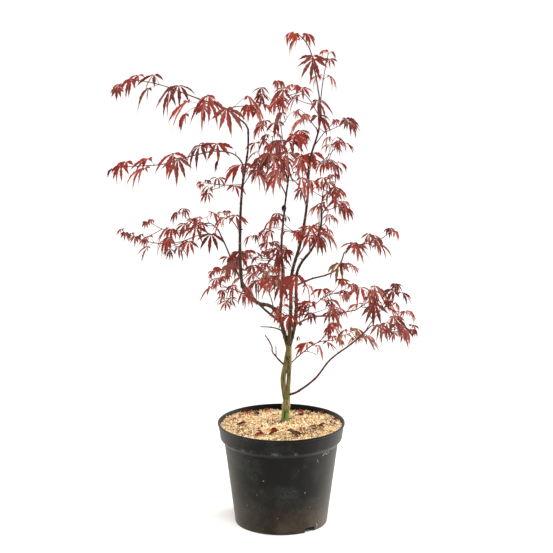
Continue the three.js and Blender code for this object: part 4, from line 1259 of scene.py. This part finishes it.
# Dead spurs and buds: limb, place along it, heading, climb and length
SPURS = [
    ("bare_twig_low", 0.54, 250, 20, 4), ("bare_twig_low", 0.84, 120, 50, 5),
    ("bare_twig_high", 0.55, 230, 30, 4), ("low_right_bough", 0.44, 300, -20, 3.5),
    ("low_right_bough", 0.2, 60, 40, 3), ("low_right_bough", 0.66, 250, 60, 4),
    ("mid_right_bough", 0.35, 100, 60, 5), ("upper_right_bough", 0.3, 280, 50, 5),
    ("left_upper_bough", 0.3, 100, 70, 9), ("top_left_bough", 0.2, 20, 60, 6),
    ("leaves_low_right_inner", 0.2, 120, 60, 6), ("leaves_low_right_inner", 0.36, 350, -10, 30),
]


def rough(distances, sides, number, depth):
    """Relief of lengthwise ridges that wander round the limb."""
    roll = dice(number, 31)
    angles = circle(sides)[None]
    along = distances[:, None]
    relief = np.zeros((len(distances), sides))
    for ridges, reach, share in RIDGES:
        phase = roll() * 2 * math.pi
        wander = np.sin(along / reach + roll() * 6) * (0.8 + roll())
        fading = np.cos(along / (reach * 1.7) + roll() * 6)
        relief += share * np.sin(ridges * angles + phase + wander) * fading
    return 1 + depth * relief


def limb_radii(limb, distances):
    return np.array([radius_at(limb, d / limb.length) for d in distances])


def add_limb(heap, name, number):
    limb = skeleton[name]
    distances, points = limb.points(BARK_STEP)
    radii = limb_radii(limb, distances)
    if name in BARE:
        radii *= BARE_GIRTH
    if limb.at < 1:
        radii *= 1 + FLARE * np.exp(-distances / FLARE_RUN)
    joints = [shoot.at * limb.length for shoot in limb.shoots] + list(np.arange(30, limb.length, RING_STEP))
    radii = swollen(distances, radii, joints)
    add_tube(heap, points, radii[:, None] * rough(distances, BARK_SIDES, number, LIMB_DEPTH), BARK_SIDES)


TRUNK_STEP = 1.6
TRUNK_SIDES = 36
STRAND_SIDES = 28
SADDLE_RINGS = 18
SADDLE_BULGE = (1.1, 2.2)  # the stretch of a sine wave that its girth follows


def add_trunk(heap):
    """The trunk with its old graft."""
    limb = skeleton["trunk"]
    distances, points = limb.points(TRUNK_STEP)
    knobs = GRAFT_KNOBS * np.exp(-((distances - GRAFT_PLACE) / GRAFT_REACH) ** 2)[:, None]
    relief = rough(distances, TRUNK_SIDES, 3, TRUNK_DEPTH)
    radii = limb_radii(limb, distances)[:, None] * relief * rough(distances * 2.2, TRUNK_SIDES, 8, knobs)
    add_tube(heap, points, radii, TRUNK_SIDES)


def add_strand(heap):
    """The second strand, grown together with the trunk at both ends."""
    limb = skeleton["trunk"]
    start, _ = limb.along(limb.length * STRAND_START)
    strand = Limb(lay_route(start, STRAND_RUN), [STRAND_GIRTH, STRAND_GIRTH])
    distances, points = strand.points(TRUNK_STEP)
    radii = STRAND_GIRTH / 2 * STRAND_BARK * rough(distances, STRAND_SIDES, 4, STRAND_DEPTH)
    add_tube(heap, points, radii, STRAND_SIDES)


def add_saddle(heap):
    """The swelling in which the leaders fork."""
    limb = skeleton["trunk"]
    below, above = SADDLE_REACH
    base, _ = limb.along(limb.length - below)
    height = np.linspace(0, below + above, SADDLE_RINGS)
    points = base + np.column_stack([np.zeros((SADDLE_RINGS, 2)), height])
    girths = np.interp(height, [0, below + above], SADDLE_GIRTHS)
    girths = girths * np.sin(np.linspace(*SADDLE_BULGE, SADDLE_RINGS))
    add_tube(heap, points, girths[:, None] / 2 * rough(height, TRUNK_SIDES, 5, SADDLE_DEPTH), TRUNK_SIDES)


def add_ring(heap, limb, distance):
    """A tan bud ring round a limb."""
    reach = radius_at(limb, distance / limb.length) * RING_SWELL
    offsets, shares = np.transpose(RING_PROFILE)
    points = np.array([limb.course(distance + d) for d in offsets])
    add_tube(heap, points, reach * shares, RING_SIDES)


def add_stub(heap, rings, name, at, length, girth, heading, climb):
    """A sawn stub with a pale ring at its end."""
    place, way = skeleton[name].spot(at), ray(heading, climb)
    t = np.linspace(0, 1, 8)[:, None]
    add_tube(heap, place + way * length * t, girth / 2 * np.linspace(1.2, 0.85, 8), STUB_SIDES)
    end = place + way * length
    add_tube(rings, [end - way * 0.6, end + way * 0.3], [girth * 0.44] * 2, STUB_SIDES)


def add_spur(heap, name, at, heading, climb, length):
    """A thin dead spur, bowed upwards, with a bud in its middle and at its end."""
    t = np.linspace(0, 1, TWIG_POINTS)[:, None]
    bow = np.array([0, 0, SPUR_BOW * length])
    distances = np.linspace(0, length, TWIG_POINTS)
    buds = [length * share for share in SPUR_BUDS]
    radii = swollen(distances, np.linspace(*TWIG_RADII, TWIG_POINTS), buds, 1.2)
    place = skeleton[name].spot(at)
    add_tube(heap, place + ray(heading, climb) * length * t + bow * 4 * t * (1 - t), radii, SPUR_SIDES)


def make_bark():
    trunk, stems, boughs, rings = Heap(), Heap(), Heap(), Heap()
    add_trunk(trunk)
    add_strand(trunk)
    add_saddle(trunk)
    for number, name in enumerate(LIMBS):
        add_limb(stems if name in STEMS else boughs, name, number + 10)
    for name, *sizes in STUBS:
        add_stub(boughs if name in BARE else stems, rings, name, *sizes)
    for name in STEMS:
        for distance in np.arange(RING_START, skeleton[name].length - 8, RING_STEP):
            add_ring(rings, skeleton[name], distance)
    for spur in SPURS:
        add_spur(boughs, *spur)
    trunk.make("bark_trunk", [bark_paint()], ["trunk"], "trunk_bark")
    stems.make("bark_stems", [limb_paint()], STEMS, "limb_bark")
    others = [name for name in LIMBS if name not in STEMS]
    boughs.make("bark_boughs", [young_bark_paint()], others, "limb_bark")
    rings.make("bark_rings", [tan_paint()], slot="limb_bark")


# ---------------------------------------------------------------- pot

POT_HEIGHT = 228
RIM_RADIUS = 140
BASE_RADIUS = 102
WALL = 2.4
LIP = 1.6
LIP_HEIGHT = 5
BAND_FOOT = 193
BAND_FOOT_RADIUS = 134
BODY_TOP = 184
BODY_TOP_RADIUS = 125.5
FLOOR_RADIUS = 78
CHANNEL_HEIGHT = 12
FOOT_RING = 4
POT_SEGMENTS = 160
DRAIN_WIDTH = 26
DRAIN_HEIGHT = 11
DRAIN_HEADINGS = (308, 128)

# Half of a notch's outline, mirrored below: shares of half its width and of its height
NOTCH_HALF = [(1, -1), (1, 0.72), (0.93, 0.9), (0.82, 1)]
SMOOTH_ANGLE = 38  # degrees up to which neighbouring faces of the pot are shaded as one


def band_inside(height):
    share = (height - BAND_FOOT - 2) / (POT_HEIGHT - BAND_FOOT - 2)
    return BAND_FOOT_RADIUS - WALL + (RIM_RADIUS - LIP - BAND_FOOT_RADIUS) * share


def pot_profile():
    """The pot's profile as the source's, with the radius that each corner is rounded to."""
    channel_start = FLOOR_RADIUS + 4
    channel_end = BASE_RADIUS - FOOT_RING - 1
    return [
        (0, 0, 0), (FLOOR_RADIUS, 0, 1), (channel_start, CHANNEL_HEIGHT, 1.5),
        (channel_end, CHANNEL_HEIGHT, 1.5), (BASE_RADIUS - FOOT_RING, 0, 0.6),
        (BASE_RADIUS - 0.6, 0, 2.2), (BODY_TOP_RADIUS, BODY_TOP, 2.5),
        (BAND_FOOT_RADIUS, BAND_FOOT, 1.4), (RIM_RADIUS - LIP, POT_HEIGHT - LIP_HEIGHT, 0.8),
        (RIM_RADIUS, POT_HEIGHT - LIP_HEIGHT + 0.8, 1), (RIM_RADIUS, POT_HEIGHT, 1.3),
        (band_inside(POT_HEIGHT), POT_HEIGHT, 0.8), (BAND_FOOT_RADIUS - WALL, BAND_FOOT + 2, 3),
        (BODY_TOP_RADIUS - WALL, BODY_TOP + 2, 2.5), (BASE_RADIUS - WALL + 1, CHANNEL_HEIGHT + WALL, 2),
        (channel_start - 1, CHANNEL_HEIGHT + WALL, 1), (FLOOR_RADIUS - 1, WALL, 1), (0, WALL, 0),
    ]


def rounded(profile, steps=4):
    """The profile with an arc at each corner."""
    corners = [np.array(p[:2], float) for p in profile]
    points = [corners[0]]
    for i in range(1, len(corners) - 1):
        before, corner, after = corners[i - 1:i + 2]
        back, ahead = unit(before - corner), unit(after - corner)
        room = min(np.linalg.norm(before - corner), np.linalg.norm(after - corner))
        reach = min(profile[i][2], room / 2.2)
        first, last = corner + back * reach, corner + ahead * reach
        for t in np.linspace(0, 1, steps):
            points.append(arc(first, corner, last, t))
    return np.array([*points, corners[-1]])


def lathe(heap, profile, segments):
    """A profile of radius and height turned round the Z axis. It starts and ends on the axis."""
    angles = circle(segments)
    rings = [np.column_stack([r * np.cos(angles), r * np.sin(angles), np.full(segments, z)])
             for r, z in profile[1:-1]]
    heap.add(np.vstack(rings), grid_faces(len(rings), segments, closed=True))
    for ring, centre, order in ((rings[0], profile[0], -1), (rings[-1], profile[-1], 1)):
        heap.add(np.vstack([ring, [[0, 0, centre[1]]]]), fan_faces(segments)[:, ::order])


def weld(piece, distance=1e-6):
    """Merges the corners that faces share and turns every face outwards."""
    work = bmesh.new()
    work.from_mesh(piece.data)
    bmesh.ops.remove_doubles(work, verts=work.verts, dist=distance)
    bmesh.ops.recalc_face_normals(work, faces=work.faces)
    work.to_mesh(piece.data)
    work.free()


def cut_notches(piece):
    """Cuts the drain notches through the foot ring."""
    cutter = Heap()
    outline = [(-1, -1), *NOTCH_HALF, *((-u, v) for u, v in NOTCH_HALF[:0:-1])]
    count = len(outline)
    cap = np.array([[0, i + 1, i] for i in range(1, count - 1)])
    for heading in DRAIN_HEADINGS:
        out, across = ray(heading, 0), ray(heading + 90, 0)
        rings = [
            [out * radius + across * u * DRAIN_WIDTH / 2 + [0, 0, v * DRAIN_HEIGHT] for u, v in outline]
            for radius in (BASE_RADIUS - 10, BASE_RADIUS + 10)
        ]
        cutter.add(np.vstack(rings), grid_faces(2, count, closed=True), cap, cap[:, [0, 2, 1]] + count)
    tool = cutter.make("notch_cutter", [])
    weld(tool)
    modifier = piece.modifiers.new("notches", "BOOLEAN")
    modifier.object = tool
    modifier.operation = "DIFFERENCE"
    modifier.solver = "EXACT"
    shaped = piece.evaluated_get(bpy.context.evaluated_depsgraph_get())
    mesh = bpy.data.meshes.new_from_object(shaped)
    piece.modifiers.clear()
    piece.data = mesh
    bpy.data.objects.remove(tool)


# Marks on the pot's wall: heading and height of the middle, slant from upright, length, breadth and tint
WALL_MARKS = [
    (310, 168, -28, 11, 1.7, "straw"), (317.5, 179, 58, 9, 2.2, "scratch"),
    (321.5, 180, -48, 10, 2.0, "scratch"), (325, 181, -62, 6, 1.4, "scratch"),
    (236, 170, 25, 4, 1.1, "straw"), (251, 128, 70, 4.5, 1.8, "straw"), (297, 98, 35, 4.5, 1.5, "straw"),
    (228, 62, 15, 3, 1.0, "straw"), (266, 40, 80, 2.5, 1.2, "straw"), (288, 152, 20, 2.5, 0.8, "straw"),
    (242, 92, 60, 2.2, 0.9, "straw"), (305, 60, 10, 2.6, 0.9, "straw"), (215, 110, 40, 2.4, 1.0, "straw"),
    (20, 120, 30, 5, 1.4, "straw"), (95, 70, 75, 4, 1.3, "straw"), (150, 150, 20, 4, 1.2, "straw"),
    (60, 180, 60, 8, 1.1, "scratch"), (135, 182, -50, 7, 1.0, "scratch"),
]
MARK_TINTS = {"straw": 0xA8895C, "scratch": 0xB0AEA6}
FLAP_HEIGHT = 16  # a torn edge curled outwards at one side of each notch
FLAP_BREADTH = 4.5
FLAP_TURN = 9.0  # degrees from the notch's middle


def wall_radius(height):
    return BASE_RADIUS + (BODY_TOP_RADIUS - BASE_RADIUS) * height / BODY_TOP


def on_wall(heading, along, height, lift):
    """A place that stands out from the wall, so many millimetres along it from a heading."""
    radius = wall_radius(height) + lift
    return ray(heading + math.degrees(along / radius), 0) * radius + [0, 0, height]


def add_mark(heap, heading, height, slant, length, breadth):
    """A crumb or a scratch: a narrow lens that stands a little out from the wall."""
    angle = math.radians(slant)
    t = np.linspace(-0.5, 0.5, 7)
    rows = []
    for share in t:
        half = breadth / 2 * math.sqrt(max(1 - (2 * share) ** 2, 0.02))
        row = []
        for across, lift in ((-half, -0.3), (0, 0.35), (half, -0.3)):
            up = share * length * math.cos(angle) - across * math.sin(angle)
            along = share * length * math.sin(angle) + across * math.cos(angle)
            row.append(on_wall(heading, along, height + up, lift))
        rows.append(row)
    heap.add(np.array(rows), grid_faces(len(t), 3, closed=False))


def add_flap(heap, heading):
    rows = []
    for share in np.linspace(0, 1, 8):
        height = 1.5 + FLAP_HEIGHT * share
        lean = math.sin(math.pi * min(share * 1.15, 1)) ** 0.8
        row = []
        for across in (0, 0.35, 0.7, 1):
            lift = 0.2 + 2.4 * lean * math.sin(math.pi * across * 0.8)
            turn = heading + math.degrees(FLAP_BREADTH * across * (0.5 + 0.5 * lean) / BASE_RADIUS)
            row.append(ray(turn, 0) * (wall_radius(height) + lift) + [0, 0, height])
        rows.append(row)
    heap.add(np.array(rows), grid_faces(8, 4, closed=False))


def make_wall_marks():
    heaps = {tint: Heap() for tint in MARK_TINTS}
    for *place, tint in WALL_MARKS:
        add_mark(heaps[tint], *place)
    for tint, heap in heaps.items():
        heap.make(f"pot_{tint}", [chip_paint(f"pot_{tint}", MARK_TINTS[tint])], slot="pot_plastic")
    flaps = Heap()
    for heading in DRAIN_HEADINGS:
        add_flap(flaps, heading + FLAP_TURN)
    flaps.make("pot_flaps", [worn_paint()], slot="pot_plastic")


def make_pot():
    heap = Heap()
    lathe(heap, rounded(pot_profile()), POT_SEGMENTS)
    pot = heap.make("pot_shell", [plastic_paint()], ["pot"], "pot_plastic")
    weld(pot)
    cut_notches(pot)
    pot.data.polygons.foreach_set("use_smooth", np.full(len(pot.data.polygons), True))
    pot.data.set_sharp_from_angle(angle=math.radians(SMOOTH_ANGLE))


# ---------------------------------------------------------------- mulch

MULCH_LEVEL = 219.0
MULCH_MOUND = 5.0
MULCH_TILT = 4.5
MULCH_SIDES = 3.0
MULCH_BUMP = 1.6
MULCH_REACH = 133
BED_DEPTH = 1.5  # how far the bed lies below the tops of the shavings
BED_FOOT = 205
BED_RINGS = 30
BED_SEGMENTS = 96
CHIP_TINTS = {"cream": 0xFFF6D8, "straw": 0xFFE2AA, "honey": 0xE8B06C, "umber": 0x7C5834}
CHIP_ODDS = [0.36, 0.34, 0.20, 0.10]

CHIP_SINK = 1.2  # how far the deepest shavings lie below the mulch's surface, and the height of the pile
CHIP_PILE = 3.0
CHIP_PITCH = 0.42  # spread of the angles at which they lie, in radians
CHIP_LEAN = 0.5
CHIP_TAPER = 0.45  # how much narrower than their middle their ends can be

# Flat shavings and curls: count, ranges of length, breadth and curl, and rows to each
CHIP_KINDS = [
    (15000, (2.5, 7), (0.9, 2.4), (0, 1.2), 2),
    (1100, (7, 14), (1.5, 3.6), (0.8, 3.4), 7),
]


def mulch_height(x, y):
    share = np.hypot(x, y) / MULCH_REACH
    bumps = np.sin(x / 17 + 1) * np.cos(y / 14) + 0.6 * np.sin(x / 7 - y / 9)
    slope = -MULCH_TILT * y / RIM_RADIUS + MULCH_SIDES * (x / RIM_RADIUS) ** 2
    return MULCH_LEVEL + MULCH_MOUND * (1 - share ** 2) + slope + MULCH_BUMP * bumps


def make_bed():
    heap = Heap()
    angles = circle(BED_SEGMENTS)
    rows = []
    for ring in range(1, BED_RINGS + 1):
        reach = MULCH_REACH * ring / BED_RINGS
        x, y = reach * np.cos(angles), reach * np.sin(angles)
        rows.append(np.column_stack([x, y, mulch_height(x, y) - BED_DEPTH]))
    skirt = rows[-1] * [1, 1, 0] + [0, 0, BED_FOOT]
    heap.add(np.vstack([*rows, skirt]), grid_faces(BED_RINGS + 1, BED_SEGMENTS, closed=True)[:, ::-1])
    heap.add(np.vstack([rows[0], [[0, 0, mulch_height(0, 0) - BED_DEPTH]]]), fan_faces(BED_SEGMENTS))
    heap.make("mulch_bed", [bed_paint()], ["mulch"], "wood_shavings")


def chip_sheets(rng, count, lengths, breadths, curls, steps):
    """Small curved strips: an array of count strips, with steps + 1 rows of two points each."""
    reach = MULCH_REACH * np.sqrt(rng.random(count))
    heading = rng.random(count) * 2 * math.pi
    x, y = reach * np.cos(heading), reach * np.sin(heading)
    z = mulch_height(x, y) - CHIP_SINK + CHIP_PILE * rng.random(count) ** 2
    length = rng.uniform(*lengths, count)
    breadth = rng.uniform(*breadths, count)
    curl = rng.uniform(*curls, count) * rng.choice([-1, 1], count)
    t = np.linspace(-0.5, 0.5, steps + 1)
    bend = t[None] * curl[:, None]
    radius = length / np.where(np.abs(curl) < 0.05, 0.05, curl)
    forward = np.sin(bend) * radius[:, None]
    upward = (1 - np.cos(bend)) * radius[:, None]
    yaw = rng.random(count) * 2 * math.pi
    pitch = rng.normal(0, CHIP_PITCH, count)
    lean = rng.normal(0, CHIP_LEAN, count)
    way = np.column_stack([np.cos(yaw) * np.cos(pitch), np.sin(yaw) * np.cos(pitch), np.sin(pitch)])
    side = np.column_stack([-np.sin(yaw), np.cos(yaw), np.zeros(count)])
    over = np.cross(way, side)
    tilted = side * np.cos(lean)[:, None] + over * np.sin(lean)[:, None]
    over = np.cross(way, tilted)
    centre = np.column_stack([x, y, z])[:, None]
    spine = centre + way[:, None] * forward[:, :, None] + over[:, None] * upward[:, :, None]
    taper = 1 - CHIP_TAPER * np.abs(t * 2)[None] * rng.random(count)[:, None]
    half = tilted[:, None] * (breadth[:, None] * taper / 2)[:, :, None]
    sheets = np.stack([spine + half, spine - half], axis=2)
    return sheets.reshape(count, -1, 3)


def add_strips(heaps, rng, strips, steps, weights):
    tints = list(heaps)
    chosen = rng.choice(len(tints), len(strips), p=weights)
    pattern = grid_faces(steps + 1, 2, closed=False)
    rows = 2 * (steps + 1)
    for number, tint in enumerate(tints):
        own = strips[chosen == number]
        faces = pattern[None] + (np.arange(len(own)) * rows)[:, None, None]
        heaps[tint].add(own.reshape(-1, 3), faces.reshape(-1, 4))


def make_chips():
    rng = np.random.default_rng(41)
    heaps = {tint: Heap() for tint in CHIP_TINTS}
    for *sizes, steps in CHIP_KINDS:
        strips = chip_sheets(rng, *sizes, steps)
        reach = np.hypot(strips[:, :, 0], strips[:, :, 1]).max(axis=1)
        height = strips[:, :, 2].max(axis=1)
        inside = reach < np.where(height < POT_HEIGHT - 1, MULCH_REACH + 2.5, MULCH_REACH)
        add_strips(heaps, rng, strips[inside], steps, CHIP_ODDS)
    for tint, heap in heaps.items():
        heap.make(f"shavings_{tint}", [chip_paint(f"chip_{tint}", CHIP_TINTS[tint])], slot="wood_shavings")


# Fallen leaves on the mulch: place, heading, size, how flat they lie and tint
LITTER = [
    (-68, 98, 200, 22, 12, "crimson"), (-58, 88, 320, 18, 20, "wine"), (-25, 112, 170, 16, 10, "crimson"),
    (-76, -14, 190, 26, 14, "wine"), (-95, -70, 60, 12, 10, "crimson"), (-36, -88, 185, 24, 8, "crimson"),
    (12, -92, 20, 30, 34, "russet"), (-4, -90, 160, 30, 26, "wine"), (24, -98, 320, 28, 30, "russet"),
    (62, -56, 25, 28, 16, "russet"), (78, -44, 30, 24, 14, "russet"), (114, 26, 340, 16, 12, "crimson"),
    (36, 92, 20, 18, 14, "crimson"), (38, 66, 10, 16, 12, "wine"), (88, 96, 330, 14, 14, "wine"),
    (-100, 38, 240, 16, 8, "crimson"), (92, -66, 100, 12, 10, "wine"), (24, 34, 200, 12, 10, "wine"),
]
LITTER_FAN = 13  # degrees between the curled lobes
LITTER_BREADTH = 0.11
LITTER_LIFT = 2.6
FLECK_COUNT = 1300  # scraps of leaves and stalks, most of them in a few patches
FLECK_PATCH = 0.5
FLECK_SIZES = ((3, 11), (0.9, 2.4), (0.3, 2.6))  # ranges of length, breadth and curl
FLECK_STEPS = 4
FLECK_LIFT = 1.8


def make_flecks():
    rng = np.random.default_rng(87)
    heap = Heap()
    strips = chip_sheets(rng, FLECK_COUNT, *FLECK_SIZES, FLECK_STEPS)
    x, y = strips[:, 0, 0], strips[:, 0, 1]
    patches = np.sin(x / 21 + 2) * np.cos(y / 26 - 0.6) + 0.4 * np.hypot(x, y) / MULCH_REACH
    strips = strips[(patches > FLECK_PATCH) & (np.hypot(x, y) < MULCH_REACH - 8)] + [0, 0, FLECK_LIFT]
    add_strips({"fleck": heap}, rng, strips, FLECK_STEPS, [1.0])
    heap.make("litter_flecks", [leaf_paint("litter_fleck", 0x5A211C)], slot="leaf_dark")


def on_mulch(place, gap):
    """The place, lifted where it would lie lower than a gap above the mulch."""
    place[2] = max(place[2], float(mulch_height(place[0], place[1])) + gap)
    return place


def add_fallen_leaf(heap, stalks, x, y, heading, size, fall, roll):
    lift = LITTER_LIFT + size * math.sin(math.radians(fall)) * 0.5
    hub = np.array([x, y, float(mulch_height(x, y)) + lift])
    for i, share in enumerate(LOBES):
        turn = heading + (i - MIDDLE_LOBE) * LITTER_FAN * (0.6 + 1.4 * roll())
        tip = on_mulch(hub + ray(turn, -fall + spread(roll, 40)) * size * share, 0.8)
        bend = (0.25 * roll(), 0.1 + 0.3 * roll())
        add_lobe(heap, hub, tip, turn, size * LITTER_BREADTH, roll, bend, 70 * roll())
    back = on_mulch(hub - ray(heading + spread(roll, 60), 12) * size * 0.7, 1.0)
    add_stalk(stalks, back, hub, unit(hub - back), roll)


def make_litter():
    heaps = {}
    stalks = Heap()
    for number, (*place, tint) in enumerate(LITTER):
        add_fallen_leaf(heaps.setdefault(tint, Heap()), stalks, *place, dice(number, 91))
    for tint, heap in heaps.items():
        heap.make(f"litter_{tint}", leaf_paints(f"litter_{tint}", tint), slot="leaf_dark")
    stalks.make("litter_stalks", [stalk_paint("litter_stalk", 0x7E2E2C)], slot="leaf_dark")


# ---------------------------------------------------------------- assembly


def add_floor():
    heap = Heap()
    reach = FLOOR_HALF / MM
    heap.add([(-reach, -reach, -0.2), (reach, -reach, -0.2), (reach, reach, -0.2), (-reach, reach, -0.2)],
             [(0, 1, 2, 3)])
    heap.make("floor", [floor_paint()])


add_camera()
add_lights()
add_floor()
make_skeleton()
take_skeleton()
make_bark()
make_foliage()
make_pot()
make_wall_marks()
make_bed()
make_chips()
make_litter()
make_flecks()

bpy.context.view_layer.update()
